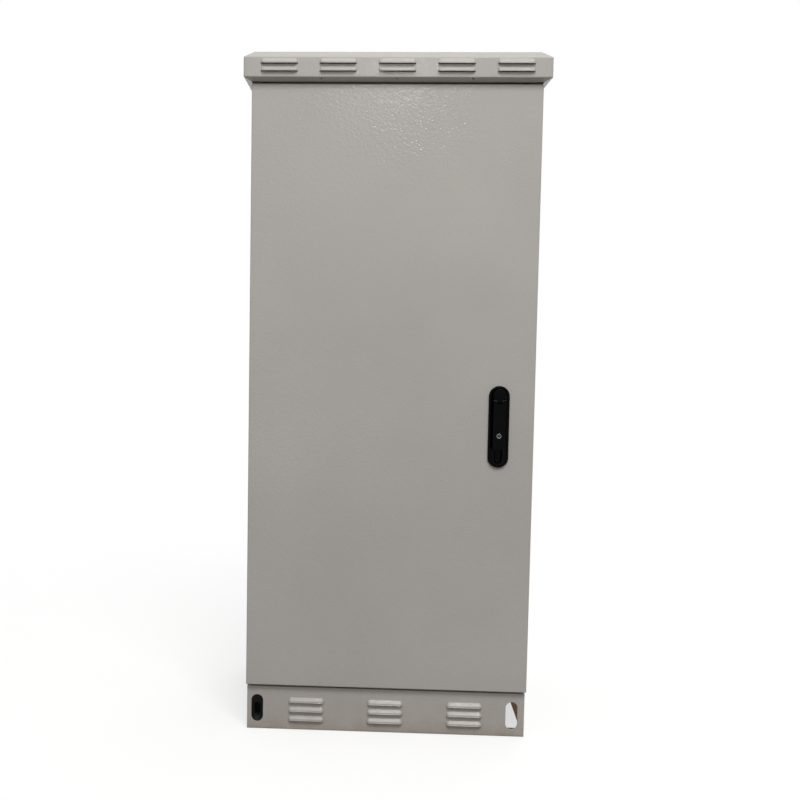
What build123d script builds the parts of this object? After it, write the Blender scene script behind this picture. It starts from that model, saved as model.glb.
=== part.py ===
"""Roadside utility cabinet: folded sheet-steel body on a louvred plinth, with a rain hood and one door.

Millimetres, +Z up, the door faces -Y and hinges at -X. The origin is on the ground under the middle.
"""
import os
from math import cos, hypot, radians, sin

from build123d import *

os.makedirs("parts", exist_ok=True)

# Overall sizes
door_width = 600.0
door_height = 1275.0
cabinet_depth = 480.0
plinth_height = 95.0
sheet = 1.5
bend_radius = 2.5

# Shared clearances
cut_overrun = 3.0
running_clearance = 0.08
moving_clearance = 0.4
lap_clearance = 0.5

# Seams round the door
door_foot_gap = 5.0
door_head_gap = 3.5
door_rear_gap = 5.0

# Pressed louvres
louvre_length = 76.0
louvre_projection = 6.5
louvre_height = 11.0
louvre_lip = 3.0
louvre_lift = 1.5
louvre_wall = 1.2
louvre_nose_radius = 2.5

# Plinth
plinth_setback = 10.0
plinth_side_setback = 2.0
plinth_flange = 45.0
plinth_louvre_columns = 3
plinth_louvre_rows = 3
plinth_louvre_end_margin = 90.0
plinth_louvre_foot_margin = 20.0
plinth_louvre_head_margin = 35.0
slot_width = 25.0
slot_height = 59.0
slot_left_margin = 22.0
slot_right_margin = 27.0
slot_foot_margin = 16.5
anchor_hole_radius = 7.0
anchor_side_inset = 33.0
anchor_end_inset = 22.0
anchor_plate_width = 60.0
anchor_plate_depth = 36.0
anchor_plate_thickness = 4.0
rear_window_width = 400.0
rear_window_height = 56.0
rear_window_corner = 8.0

# Dished insert in the left plinth slot
insert_clearance = 0.1
insert_dish_depth = 6.0
insert_socket_depth = 30.0
insert_floor = 2.0
insert_wall = 0.8
insert_rim = 3.5
insert_mouth_width = 12.0
insert_mouth_height = 30.0
insert_mouth_drop = 4.0

# Hexagon bolts and nuts of the body
bolt_radius = 4.0
bolt_hole_clearance = 0.5
hex_radius = 7.5
hex_height = 5.3
bolt_length = 15.0
plinth_bolt_columns = 3
plinth_bolt_side_inset = 79.0
plinth_bolt_inset = 30.0

# Floor tray and gland plate
tray_depth = 20.0
gland_opening_width = 300.0
gland_opening_depth = 120.0
gland_lap = 15.0
gland_plate_thickness = 2.0
gland_rear_shift = 60.0
gland_screw_columns = 3
gland_screw_edge = 7.0
screw_radius = 2.5
screw_hole_clearance = 0.3
screw_head_radius = 4.5
screw_head_height = 2.5
gland_screw_length = 8.0
grommet_hole_radius = 25.0
grommet_pitch = 90.0
grommet_rim = 4.0
grommet_flange = 2.5
grommet_wall = 3.0
grommet_cone_height = 18.0
grommet_tip_radius = 10.0
earth_stud_length = 25.0
earth_stud_side_inset = 70.0
earth_stud_front_inset = 60.0

# Walls and front frame
wall_flange = 20.0
lip_inset = 40.0
seal_width = 12.0
seal_thickness = 9.0
seal_clearance = 0.3

# Rain hood
hood_overhang = 16.0
hood_skirt_height = 40.5
hood_bevel_run = 20.0
hood_bevel_rise = 14.0
hood_return_drop = 7.0
hood_lap = 11.5
hood_louvre_columns = 5
hood_louvre_rows = 2
hood_louvre_end_margin = 36.0
hood_louvre_head_margin = 14.2
hood_louvre_foot_margin = 10.7
drain_hole_columns = 3
drain_hole_pitch = 155.0
drain_hole_radius = 2.0
drain_hole_setback = 6.0
spacer_radius = 10.0
spacer_side_inset = 80.0
spacer_end_inset = 75.0
roof_vent_length = 80.0
roof_vent_width = 8.0
roof_vent_columns = 2
roof_vent_rows = 4
roof_vent_column_pitch = 140.0
roof_vent_row_pitch = 30.0

# Mounting plate inside
plate_side_inset = 50.0
plate_foot_inset = 70.0
plate_head_inset = 70.0
plate_fold = 12.0
plate_standoff = 24.0
stud_collar_radius = 8.0
stud_corner_inset = 30.0
stud_reach = 12.0

# Door
door_edge_depth = 22.0
door_return = 14.0
stiffener_depth = 8.0
stiffener_crown = 30.0
stiffener_foot = 12.0
stiffener_side_shift = 110.0
stiffener_shift = 25.0
stiffener_end_inset = 60.0

# Concealed hinges
hinge_end_inset = 170.0
hinge_pin_inset = 10.0
hinge_pin_setback = 9.0
hinge_pin_radius = 2.5
hinge_pin_head_radius = 3.5
hinge_pin_head_height = 1.0
knuckle_radius = 4.0
knuckle_length = 22.0
gooseneck_reach = 20.0
gooseneck_thickness = 3.0
gooseneck_foot = 12.0
hinge_screw_pitch = 12.0
hinge_screw_edge = 5.0
hinge_screw_length = 8.0
hinge_screw_radius = 1.75
hinge_screw_head_radius = 3.0
hinge_screw_head_height = 1.6
door_leaf_thickness = 2.5
door_leaf_reach = 5.0
door_leaf_length = 14.0

# Swing handle
handle_edge_inset = 74.0
handle_height = 569.0
gasket_thickness = 1.0
gasket_inset = 0.3
dish_length = 172.0
dish_width = 43.5
dish_thickness = 4.5
dish_edge_radius = 2.5
dish_rim = 5.0
boss_length = 156.0
boss_width = 26.0
boss_depth = 11.0
boss_clearance = 0.3
channel_rim = 4.5
channel_depth = 1.5
finger_recess_width = 16.0
finger_recess_depth = 11.0
finger_recess_head_drop = 36.0
finger_recess_foot_drop = 76.0
lever_width = 25.0
lever_thickness = 9.0
lever_edge_radius = 2.0
lever_end_drop = 48.0
lever_corner_radius = 6.0
lever_pivot_drop = 14.0
lever_pin_radius = 1.5
hub_tongue_width = 12.0
lever_pocket_width = 18.0
lever_pocket_depth = 5.0
lever_pocket_wall = 6.0
barrel_drop = 18.0
barrel_radius = 5.0
barrel_proud = 0.4
barrel_rim_chamfer = 0.5
keyway_width = 1.4
keyway_height = 6.0
keyway_depth = 4.0
clamp_width = 22.0
clamp_half_span = 20.0
clamp_shift = 28.0
clamp_screw_length = 8.0

# Three-point lock behind the door
spindle_radius = 6.0
spindle_square = 8.0
cam_setback = 33.5
cam_thickness = 4.0
cam_arm_width = 14.0
cam_hub_radius = 9.0
cam_pin_radius = 3.0
cam_pin_circle = 16.0
cam_pin_end = 1.0
cam_rest_angle = 45.0
cam_screw_radius = 2.0
cam_screw_head_radius = 4.5
cam_screw_head_height = 2.5
cam_screw_length = 10.0
rod_width = 12.0
rod_thickness = 4.0
yoke_width = 18.0
yoke_height = 20.0
yoke_side_gap = 5.5
yoke_slot_clearance = 0.8
rod_tip_gap = 2.0
rod_tip_chamfer = 4.0
guide_thickness = 2.0
guide_foot = 22.0
guide_wall = 4.0
guide_reach = 6.0
guide_near_inset = 260.0
guide_end_inset = 60.0

# Main planes of the cabinet
front_y = -cabinet_depth / 2
rear_y = cabinet_depth / 2
side_x = door_width / 2
door_foot_z = plinth_height + door_foot_gap
door_head_z = door_foot_z + door_height
skin_rear_y = front_y + sheet
door_rear_y = front_y + door_edge_depth
frame_front_y = door_rear_y + door_rear_gap
frame_rear_y = frame_front_y + sheet
hood_foot_z = door_head_z + door_head_gap
hood_skirt_z = hood_foot_z + hood_return_drop
hood_shoulder_z = hood_skirt_z + hood_skirt_height
hood_top_z = hood_shoulder_z + hood_bevel_rise
hood_half_width = side_x + hood_overhang
hood_half_depth = cabinet_depth / 2 + hood_overhang
body_foot_z = plinth_height
body_top_z = hood_foot_z + hood_lap
body_height = body_top_z - body_foot_z
plinth_half_width = side_x - plinth_side_setback
plinth_half_depth = cabinet_depth / 2 - plinth_setback
bolt_hole_radius = bolt_radius + bolt_hole_clearance
screw_hole_radius = screw_radius + screw_hole_clearance


def facing_front(y):
    """Upright plane at depth y that faces the viewer: sketch x is X, sketch y is Z, outwards is -Y."""
    return Plane.XZ.offset(-y)


def folded_section(plane, points, side, thickness=sheet, radius=bend_radius):
    """Section of a folded sheet: the outer line with rounded bends, thickened to one side."""
    with BuildSketch(plane) as section:
        with BuildLine():
            FilletPolyline(*points, radius=radius)
            offset(amount=thickness, side=side)
        make_face()
    return section.sketch


def spread(half_span, count):
    """Evenly spaced places from -half_span to +half_span."""
    return [half_span * (2 * step / (count - 1) - 1) for step in range(count)]


# Louvre: a hooded slot pressed out of the sheet, closed at the top and ends, open below.
# Its slope is carried straight along the middle and turned about an upright line at each end.
louvre_half_middle = louvre_length / 2 - louvre_projection
louvre_nose_z = louvre_lift + louvre_lip
louvre_slope_share = (louvre_height - louvre_nose_z) / louvre_projection
louvre_inner_projection = louvre_projection - louvre_wall
louvre_inner_height = louvre_height - louvre_wall * hypot(1, louvre_slope_share)
louvre_inner_nose_z = louvre_inner_height - louvre_slope_share * louvre_inner_projection


def louvre_profile(plane, projection, height, nose_z, foot_z, nose_radius):
    """Half section of a louvre: slope from the wall out to the nose, then down to the open lip."""
    with BuildSketch(plane) as profile:
        with BuildLine():
            FilletPolyline((0, height), (-projection, nose_z), (-projection, foot_z), radius=nose_radius)
            Polyline((-projection, foot_z), (0, foot_z), (0, height))
        make_face()
    return profile.sketch


louvre_end_axis = Axis((louvre_half_middle, 0, 0), (0, 0, 1))
louvre_end_plane = Plane.YZ.offset(louvre_half_middle)
skin_sizes = (louvre_projection, louvre_height, louvre_nose_z, louvre_lift, louvre_nose_radius)
hollow_nose_radius = louvre_nose_radius - louvre_wall
hollow_sizes = (louvre_inner_projection, louvre_inner_height, louvre_inner_nose_z, 0, hollow_nose_radius)

with BuildPart() as louvre_skin:
    extrude(louvre_profile(Plane.YZ, *skin_sizes), amount=louvre_half_middle)
    revolve(louvre_profile(louvre_end_plane, *skin_sizes), axis=louvre_end_axis, revolution_arc=90)
    mirror(about=Plane.YZ)

with BuildPart() as louvre_hollow:
    extrude(louvre_profile(Plane.YZ, *hollow_sizes), amount=louvre_half_middle)
    revolve(louvre_profile(louvre_end_plane, *hollow_sizes), axis=louvre_end_axis, revolution_arc=90)
    with BuildSketch(Plane.XZ):
        with BuildLine():
            hollow_end_x = louvre_half_middle + louvre_inner_projection
            Polyline((0, 0), (0, louvre_inner_height), (louvre_half_middle, louvre_inner_height))
            FilletPolyline(
                (louvre_half_middle, louvre_inner_height),
                (hollow_end_x, louvre_inner_nose_z),
                (hollow_end_x, 0),
                radius=hollow_nose_radius,
            )
            Line((hollow_end_x, 0), (0, 0))
        make_face()
    extrude(amount=-(sheet + cut_overrun))
    mirror(about=Plane.YZ)


def louvre_places(half_width, end_margin, columns, low_z, high_z, rows, face_y):
    """Middle of each louvre's cut line, in columns across the panel and rows up it."""
    half_span = half_width - end_margin - louvre_length / 2
    row_pitch = (high_z - low_z) / (rows - 1)
    levels = [low_z + row_pitch * row for row in range(rows)]
    return [(x, face_y, z) for x in spread(half_span, columns) for z in levels]


# Plinth front: a channel folded back along the top and the ground, louvred, with two oblong slots.
plinth_front_y = -plinth_half_depth
left_slot_x = slot_left_margin - plinth_half_width
right_slot_x = plinth_half_width - slot_right_margin
slot_z = slot_foot_margin + slot_height / 2
anchor_x = plinth_half_width - anchor_side_inset
anchor_y = plinth_half_depth - anchor_end_inset
plinth_bolt_x = side_x - plinth_bolt_side_inset
plinth_bolt_y = plinth_half_depth - plinth_bolt_inset
plinth_bolt_spots = [
    (x, y)
    for x in spread(plinth_bolt_x, plinth_bolt_columns)
    for y in (-plinth_bolt_y, plinth_bolt_y)
]
anchor_spots = [(x, y) for x in (-anchor_x, anchor_x) for y in (-anchor_y, anchor_y)]
plinth_louvre_spots = louvre_places(
    plinth_half_width,
    plinth_louvre_end_margin,
    plinth_louvre_columns,
    plinth_louvre_foot_margin,
    plinth_height - plinth_louvre_head_margin,
    plinth_louvre_rows,
    plinth_front_y,
)
flange_end_y = plinth_front_y + plinth_flange
channel_line = [
    (flange_end_y, plinth_height),
    (plinth_front_y, plinth_height),
    (plinth_front_y, 0),
    (flange_end_y, 0),
]

with BuildPart() as plinth_front_panel:
    extrude(folded_section(Plane.YZ, channel_line, Side.LEFT), amount=plinth_half_width, both=True)
    with Locations(*plinth_louvre_spots):
        add(louvre_skin.part)
        add(louvre_hollow.part, mode=Mode.SUBTRACT)
    with BuildSketch(facing_front(plinth_front_y - cut_overrun)):
        with Locations((left_slot_x, slot_z), (right_slot_x, slot_z)):
            SlotOverall(slot_height, slot_width, rotation=90)
    extrude(amount=-(sheet + 2 * cut_overrun), mode=Mode.SUBTRACT)
    with BuildSketch(Plane.XY.offset(-cut_overrun)):
        with Locations(*anchor_spots):
            Circle(anchor_hole_radius)
    extrude(amount=sheet + 2 * cut_overrun, mode=Mode.SUBTRACT)
    with BuildSketch(Plane.XY.offset(plinth_height + cut_overrun)):
        with Locations(*plinth_bolt_spots):
            Circle(bolt_hole_radius)
    extrude(amount=-(sheet + 2 * cut_overrun), mode=Mode.SUBTRACT)
plinth_front_panel.part.label = "plinth_front_panel"
export_step(plinth_front_panel.part, "parts/plinth_front_panel.step")

# Plinth rear: the same channel turned round, with a wide window that lets cables and air in.
with BuildPart() as plinth_rear_panel:
    rear_line = [(-y, z) for y, z in channel_line]
    extrude(folded_section(Plane.YZ, rear_line, Side.RIGHT), amount=plinth_half_width, both=True)
    with BuildSketch(facing_front(plinth_half_depth + cut_overrun)):
        with Locations((0, plinth_height / 2)):
            RectangleRounded(rear_window_width, rear_window_height, rear_window_corner)
    extrude(amount=sheet + 2 * cut_overrun, mode=Mode.SUBTRACT)
    with BuildSketch(Plane.XY.offset(-cut_overrun)):
        with Locations(*anchor_spots):
            Circle(anchor_hole_radius)
    extrude(amount=sheet + 2 * cut_overrun, mode=Mode.SUBTRACT)
    with BuildSketch(Plane.XY.offset(plinth_height + cut_overrun)):
        with Locations(*plinth_bolt_spots):
            Circle(bolt_hole_radius)
    extrude(amount=-(sheet + 2 * cut_overrun), mode=Mode.SUBTRACT)
plinth_rear_panel.part.label = "plinth_rear_panel"
export_step(plinth_rear_panel.part, "parts/plinth_rear_panel.step")

# Plinth sides: angles between front and rear, flanged along the top only and notched at both ends.
plinth_web_half = plinth_half_depth - sheet
plinth_web_height = plinth_height - 2 * bend_radius
for side_name, side_sign, inner_side in (("left", -1, Side.LEFT), ("right", 1, Side.RIGHT)):
    outer_x = side_sign * plinth_half_width
    inner_x = side_sign * (plinth_half_width - plinth_flange)
    side_line = [(inner_x, plinth_height), (outer_x, plinth_height), (outer_x, 0)]
    with BuildPart() as plinth_side_panel:
        extrude(folded_section(facing_front(0), side_line, inner_side), amount=plinth_web_half, both=True)
        for notch_y in (flange_end_y, plinth_half_depth + cut_overrun):
            with BuildSketch(facing_front(notch_y)):
                with Locations((outer_x, plinth_height / 2)):
                    Rectangle(2 * plinth_flange + 2 * cut_overrun, plinth_height + 2 * cut_overrun)
                with Locations((outer_x - side_sign * sheet / 2, plinth_height / 2)):
                    Rectangle(sheet, plinth_web_height, mode=Mode.SUBTRACT)
            extrude(amount=plinth_flange + cut_overrun, mode=Mode.SUBTRACT)
    plinth_side_panel.part.label = f"plinth_{side_name}_panel"
    export_step(plinth_side_panel.part, f"parts/plinth_{side_name}_panel.step")

# Anchor plates: thick pads over the ground flange at each corner, one hole each.
for side_name, side_sign in (("left", -1), ("right", 1)):
    for end_name, end_sign in (("front", -1), ("rear", 1)):
        with BuildPart() as anchor_plate:
            with BuildSketch(Plane.XY.offset(sheet)):
                with Locations((side_sign * anchor_x, end_sign * anchor_y)):
                    Rectangle(anchor_plate_width, anchor_plate_depth)
                    Circle(anchor_hole_radius, mode=Mode.SUBTRACT)
            extrude(amount=anchor_plate_thickness)
        anchor_plate.part.label = f"anchor_plate_{end_name}_{side_name}"
        export_step(anchor_plate.part, f"parts/anchor_plate_{end_name}_{side_name}.step")

# Slot insert: a moulded plug pushed in from behind, its face dished down to the mouth of a blind socket.
insert_width = slot_width - 2 * insert_clearance
insert_height = slot_height - 2 * insert_clearance
insert_socket_width = insert_mouth_width + 2 * insert_floor
insert_socket_height = insert_mouth_height + 2 * insert_floor
insert_mouth_z = slot_z - insert_mouth_drop
insert_mouth_y = plinth_front_y + insert_dish_depth
insert_back_y = plinth_front_y + insert_socket_depth + insert_floor
with BuildPart() as plinth_slot_insert:
    with BuildSketch(facing_front(insert_mouth_y + insert_floor)):
        with Locations((left_slot_x, slot_z)):
            SlotOverall(insert_height, insert_width, rotation=90)
    extrude(amount=insert_dish_depth + insert_floor)
    with BuildSketch(facing_front(plinth_front_y + 2 * sheet)):
        with Locations((left_slot_x, slot_z)):
            SlotOverall(slot_height + 2 * insert_rim, slot_width + 2 * insert_rim, rotation=90)
    extrude(amount=sheet)
    with BuildSketch(facing_front(insert_back_y)):
        with Locations((left_slot_x, insert_mouth_z)):
            SlotOverall(insert_socket_height, insert_socket_width, rotation=90)
    extrude(amount=insert_back_y - insert_mouth_y)
    with BuildSketch(facing_front(plinth_front_y)):
        with Locations((left_slot_x, slot_z)):
            SlotOverall(insert_height - 2 * insert_wall, insert_width - 2 * insert_wall, rotation=90)
    with BuildSketch(facing_front(insert_mouth_y)):
        with Locations((left_slot_x, insert_mouth_z)):
            SlotOverall(insert_mouth_height, insert_mouth_width, rotation=90)
    loft(mode=Mode.SUBTRACT)
    with BuildSketch(facing_front(insert_back_y - insert_floor)):
        with Locations((left_slot_x, insert_mouth_z)):
            SlotOverall(insert_mouth_height, insert_mouth_width, rotation=90)
    extrude(amount=insert_back_y - insert_floor - insert_mouth_y, mode=Mode.SUBTRACT)
plinth_slot_insert.part.label = "plinth_slot_insert"
export_step(plinth_slot_insert.part, "parts/plinth_slot_insert.step")

# Floor tray: rests on the plinth flanges, turned up all round, with the cable opening.
tray_half_width = side_x - sheet
tray_rear_y = rear_y - sheet - bend_radius
tray_length = tray_rear_y - frame_rear_y
tray_middle_y = (tray_rear_y + frame_rear_y) / 2
floor_z = body_foot_z + sheet
gland_plate_width = gland_opening_width + 2 * gland_lap
gland_plate_depth = gland_opening_depth + 2 * gland_lap
gland_screw_x = gland_plate_width / 2 - gland_screw_edge
gland_screw_y = gland_plate_depth / 2 - gland_screw_edge
gland_screw_spots = [
    (x, gland_rear_shift + y)
    for x in spread(gland_screw_x, gland_screw_columns)
    for y in (-gland_screw_y, gland_screw_y)
]
earth_spot = (earth_stud_side_inset - side_x, frame_rear_y + earth_stud_front_inset)
with BuildPart() as base_tray:
    with BuildSketch(Plane.XY.offset(body_foot_z)):
        with Locations((0, tray_middle_y)):
            Rectangle(2 * tray_half_width, tray_length)
    extrude(amount=tray_depth)
    offset(amount=-sheet, openings=base_tray.faces().sort_by(Axis.Z)[-1])
    with BuildSketch(Plane.XY.offset(body_foot_z - cut_overrun)):
        with Locations((0, gland_rear_shift)):
            Rectangle(gland_opening_width, gland_opening_depth)
        with Locations(*gland_screw_spots):
            Circle(screw_hole_radius)
        with Locations(*plinth_bolt_spots):
            Circle(bolt_hole_radius)
        with Locations(earth_spot):
            Circle(bolt_radius)
    extrude(amount=sheet + 2 * cut_overrun, mode=Mode.SUBTRACT)
base_tray.part.label = "base_tray"
export_step(base_tray.part, "parts/base_tray.step")

# Plinth bolts and nuts: the floor tray is bolted down through the plinth flanges.
with BuildPart() as plinth_bolts:
    with BuildSketch(Plane.XY.offset(floor_z)):
        with Locations(*plinth_bolt_spots):
            RegularPolygon(hex_radius, 6)
    extrude(amount=hex_height)
    with BuildSketch(Plane.XY.offset(floor_z)):
        with Locations(*plinth_bolt_spots):
            Circle(bolt_radius)
    extrude(amount=-bolt_length)
plinth_bolts.part.label = "plinth_bolts"
export_step(plinth_bolts.part, "parts/plinth_bolts.step")

with BuildPart() as plinth_nuts:
    with BuildSketch(Plane.XY.offset(plinth_height - sheet)):
        with Locations(*plinth_bolt_spots):
            RegularPolygon(hex_radius, 6)
            Circle(bolt_radius, mode=Mode.SUBTRACT)
    extrude(amount=-hex_height)
plinth_nuts.part.label = "plinth_nuts"
export_step(plinth_nuts.part, "parts/plinth_nuts.step")

# Gland plate over the cable opening, with its screws.
grommet_xs = [-grommet_pitch, 0, grommet_pitch]
gland_top_z = floor_z + gland_plate_thickness
with BuildPart() as gland_plate:
    with BuildSketch(Plane.XY.offset(floor_z)):
        with Locations((0, gland_rear_shift)):
            Rectangle(gland_plate_width, gland_plate_depth)
        with Locations(*[(x, gland_rear_shift) for x in grommet_xs]):
            Circle(grommet_hole_radius, mode=Mode.SUBTRACT)
        with Locations(*gland_screw_spots):
            Circle(screw_hole_radius, mode=Mode.SUBTRACT)
    extrude(amount=gland_plate_thickness)
gland_plate.part.label = "gland_plate"
export_step(gland_plate.part, "parts/gland_plate.step")

with BuildPart() as gland_screws:
    with BuildSketch(Plane.XY.offset(gland_top_z)):
        with Locations(*gland_screw_spots):
            Circle(screw_head_radius)
    extrude(amount=screw_head_height)
    with BuildSketch(Plane.XY.offset(gland_top_z)):
        with Locations(*gland_screw_spots):
            Circle(screw_radius)
    extrude(amount=-gland_screw_length)
gland_screws.part.label = "gland_screws"
export_step(gland_screws.part, "parts/gland_screws.step")

# Cable grommets: rubber cones with a groove that grips the gland plate, closed until a cable is fed in.
grommet_flange_radius = grommet_hole_radius + grommet_rim
grommet_cone_radius = grommet_hole_radius - grommet_wall
grommet_foot_z = floor_z - grommet_flange
grommet_head_z = gland_top_z + grommet_flange
grommet_tip_z = grommet_head_z + grommet_cone_height
grommet_profile = [
    (grommet_cone_radius, grommet_foot_z),
    (grommet_flange_radius, grommet_foot_z),
    (grommet_flange_radius, floor_z),
    (grommet_hole_radius, floor_z),
    (grommet_hole_radius, gland_top_z),
    (grommet_flange_radius, gland_top_z),
    (grommet_flange_radius, grommet_head_z),
    (grommet_hole_radius, grommet_head_z),
    (grommet_tip_radius, grommet_tip_z),
    (0, grommet_tip_z),
    (0, grommet_tip_z - grommet_wall),
    (grommet_tip_radius - grommet_wall, grommet_tip_z - grommet_wall),
    (grommet_cone_radius, gland_top_z),
]
for grommet_name, grommet_x in zip(("left", "middle", "right"), grommet_xs):
    with BuildPart() as cable_grommet:
        with BuildSketch(facing_front(gland_rear_shift)):
            with BuildLine():
                Polyline(*[(grommet_x + radius, z) for radius, z in grommet_profile], close=True)
            make_face()
        revolve(axis=Axis((grommet_x, gland_rear_shift, 0), (0, 0, 1)))
    cable_grommet.part.label = f"cable_grommet_{grommet_name}"
    export_step(cable_grommet.part, f"parts/cable_grommet_{grommet_name}.step")

# Earth stud in the floor and its nut.
with BuildPart() as earth_stud:
    with BuildSketch(Plane.XY.offset(body_foot_z)):
        with Locations(earth_spot):
            Circle(bolt_radius)
    extrude(amount=earth_stud_length)
earth_stud.part.label = "earth_stud"
export_step(earth_stud.part, "parts/earth_stud.step")

with BuildPart() as earth_nut:
    with BuildSketch(Plane.XY.offset(floor_z)):
        with Locations(earth_spot):
            RegularPolygon(hex_radius, 6)
            Circle(bolt_radius, mode=Mode.SUBTRACT)
    extrude(amount=hex_height)
earth_nut.part.label = "earth_nut"
export_step(earth_nut.part, "parts/earth_nut.step")

# Side walls: sheets with a flange turned in behind, to which the rear wall is fixed.
for side_name, side_sign, inner_side in (("left", -1, Side.RIGHT), ("right", 1, Side.LEFT)):
    wall_x = side_sign * side_x
    wall_line = [
        (wall_x, frame_rear_y),
        (wall_x, rear_y - sheet),
        (wall_x - side_sign * wall_flange, rear_y - sheet),
    ]
    with BuildPart() as side_wall:
        extrude(folded_section(Plane.XY.offset(body_foot_z), wall_line, inner_side), amount=body_height)
    side_wall.part.label = f"{side_name}_wall"
    export_step(side_wall.part, f"parts/{side_name}_wall.step")

# Rear wall: a flat sheet on the side flanges, with the mounting plate's studs welded to its inner face.
plate_half_width = side_x - plate_side_inset
plate_foot_z = body_foot_z + plate_foot_inset
plate_head_z = body_top_z - plate_head_inset
plate_rear_y = rear_y - sheet - plate_standoff
stud_x = plate_half_width - stud_corner_inset
stud_spots = [
    (x, z)
    for x in (-stud_x, stud_x)
    for z in (plate_foot_z + stud_corner_inset, plate_head_z - stud_corner_inset)
]
with BuildPart() as rear_wall:
    with BuildSketch(Plane.XY.offset(body_foot_z)):
        with Locations((0, rear_y - sheet / 2)):
            Rectangle(2 * side_x, sheet)
    extrude(amount=body_height)
rear_wall.part.label = "rear_wall"
export_step(rear_wall.part, "parts/rear_wall.step")

# Front frame: a flat ring behind the door with a sealing lip turned forward round the opening.
lip_half_width = side_x - lip_inset
lip_foot_z = door_foot_z + lip_inset
lip_head_z = door_head_z - lip_inset
lip_height = lip_head_z - lip_foot_z
lip_middle_z = (lip_head_z + lip_foot_z) / 2
seal_rear_y = skin_rear_y + seal_thickness
lip_front_y = seal_rear_y + seal_clearance
opening_width = 2 * lip_half_width - 2 * sheet
opening_height = lip_height - 2 * sheet
leaf_screw_x = hinge_pin_inset + gooseneck_reach - gooseneck_foot + hinge_screw_edge - side_x
hinge_levels = {
    "upper": door_head_z - hinge_end_inset,
    "middle": (door_head_z + door_foot_z) / 2,
    "lower": door_foot_z + hinge_end_inset,
}
leaf_screw_spots = [
    (leaf_screw_x, level + shift)
    for level in hinge_levels.values()
    for shift in (-hinge_screw_pitch / 2, hinge_screw_pitch / 2)
]
with BuildPart() as front_frame:
    with BuildSketch(facing_front(frame_rear_y)):
        with Locations((0, (body_foot_z + body_top_z) / 2)):
            Rectangle(2 * side_x, body_height)
        with Locations((0, lip_middle_z)):
            Rectangle(opening_width, opening_height, mode=Mode.SUBTRACT)
        with Locations(*leaf_screw_spots):
            Circle(hinge_screw_radius + screw_hole_clearance, mode=Mode.SUBTRACT)
    extrude(amount=sheet)
    with BuildSketch(facing_front(frame_front_y)):
        with Locations((0, lip_middle_z)):
            Rectangle(2 * lip_half_width, lip_height)
            Rectangle(opening_width, opening_height, mode=Mode.SUBTRACT)
    extrude(amount=frame_front_y - lip_front_y)
front_frame.part.label = "front_frame"
export_step(front_frame.part, "parts/front_frame.step")

# Roof tray: closes the body under the hood, turned down all round, with vent slots.
spacer_x = side_x - spacer_side_inset
spacer_y = cabinet_depth / 2 - spacer_end_inset
spacer_spots = [(x, y) for x in (-spacer_x, spacer_x) for y in (-spacer_y, spacer_y)]
with BuildPart() as roof_tray:
    with BuildSketch(Plane.XY.offset(body_top_z - tray_depth)):
        with Locations((0, tray_middle_y)):
            Rectangle(2 * tray_half_width, tray_length)
    extrude(amount=tray_depth)
    offset(amount=-sheet, openings=roof_tray.faces().sort_by(Axis.Z)[0])
    with BuildSketch(Plane.XY.offset(body_top_z + cut_overrun)):
        with GridLocations(roof_vent_column_pitch, roof_vent_row_pitch, roof_vent_columns, roof_vent_rows):
            SlotOverall(roof_vent_length, roof_vent_width)
        with Locations(*spacer_spots):
            Circle(bolt_hole_radius)
    extrude(amount=-(sheet + 2 * cut_overrun), mode=Mode.SUBTRACT)
roof_tray.part.label = "roof_tray"
export_step(roof_tray.part, "parts/roof_tray.step")

# Rain hood: one folded and welded sheet. A bevel runs round the top, the skirt is louvred front and rear,
# and a sloped return under the skirt leads in to the walls, drained in front, and back to the frame.
hood_mouth_half_width = side_x + lap_clearance
hood_mouth_half_depth = cabinet_depth / 2 + lap_clearance
hood_louvre_spots = louvre_places(
    hood_half_width,
    hood_louvre_end_margin,
    hood_louvre_columns,
    hood_skirt_z + hood_louvre_foot_margin,
    hood_shoulder_z - hood_louvre_head_margin,
    hood_louvre_rows,
    -hood_half_depth,
)
hood_rear_louvre_spots = [Location((x, -y, z), (0, 0, 180)) for x, y, z in hood_louvre_spots]
hood_flange_depth = frame_front_y + hood_mouth_half_depth
with BuildPart() as rain_hood:
    with BuildSketch(Plane.XY.offset(hood_foot_z)):
        Rectangle(2 * hood_mouth_half_width, 2 * hood_mouth_half_depth)
    with BuildSketch(Plane.XY.offset(hood_skirt_z)):
        Rectangle(2 * hood_half_width, 2 * hood_half_depth)
    loft()
    with BuildSketch(Plane.XY.offset(hood_skirt_z)):
        Rectangle(2 * hood_half_width, 2 * hood_half_depth)
    extrude(amount=hood_skirt_height)
    with BuildSketch(Plane.XY.offset(hood_shoulder_z)):
        Rectangle(2 * hood_half_width, 2 * hood_half_depth)
    with BuildSketch(Plane.XY.offset(hood_top_z)):
        Rectangle(2 * (hood_half_width - hood_bevel_run), 2 * (hood_half_depth - hood_bevel_run))
    loft()
    offset(amount=-sheet, openings=rain_hood.faces().sort_by(Axis.Z)[0])
    with BuildSketch(Plane.XY.offset(hood_foot_z)):
        Rectangle(2 * hood_mouth_half_width, 2 * hood_mouth_half_depth)
    extrude(amount=2 * sheet, mode=Mode.SUBTRACT)
    with BuildSketch(Plane.XY.offset(hood_foot_z)):
        with Locations((0, frame_front_y - hood_flange_depth / 2)):
            Rectangle(2 * hood_mouth_half_width, hood_flange_depth)
    extrude(amount=sheet)
    with Locations(*hood_louvre_spots, *hood_rear_louvre_spots):
        add(louvre_skin.part)
        add(louvre_hollow.part, mode=Mode.SUBTRACT)
    with BuildSketch(Plane.XY.offset(hood_foot_z - cut_overrun)):
        with Locations((0, drain_hole_setback - hood_half_depth)):
            with GridLocations(drain_hole_pitch, 0, drain_hole_columns, 1):
                Circle(drain_hole_radius)
    extrude(amount=hood_return_drop + 2 * cut_overrun, mode=Mode.SUBTRACT)
rain_hood.part.label = "rain_hood"
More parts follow.
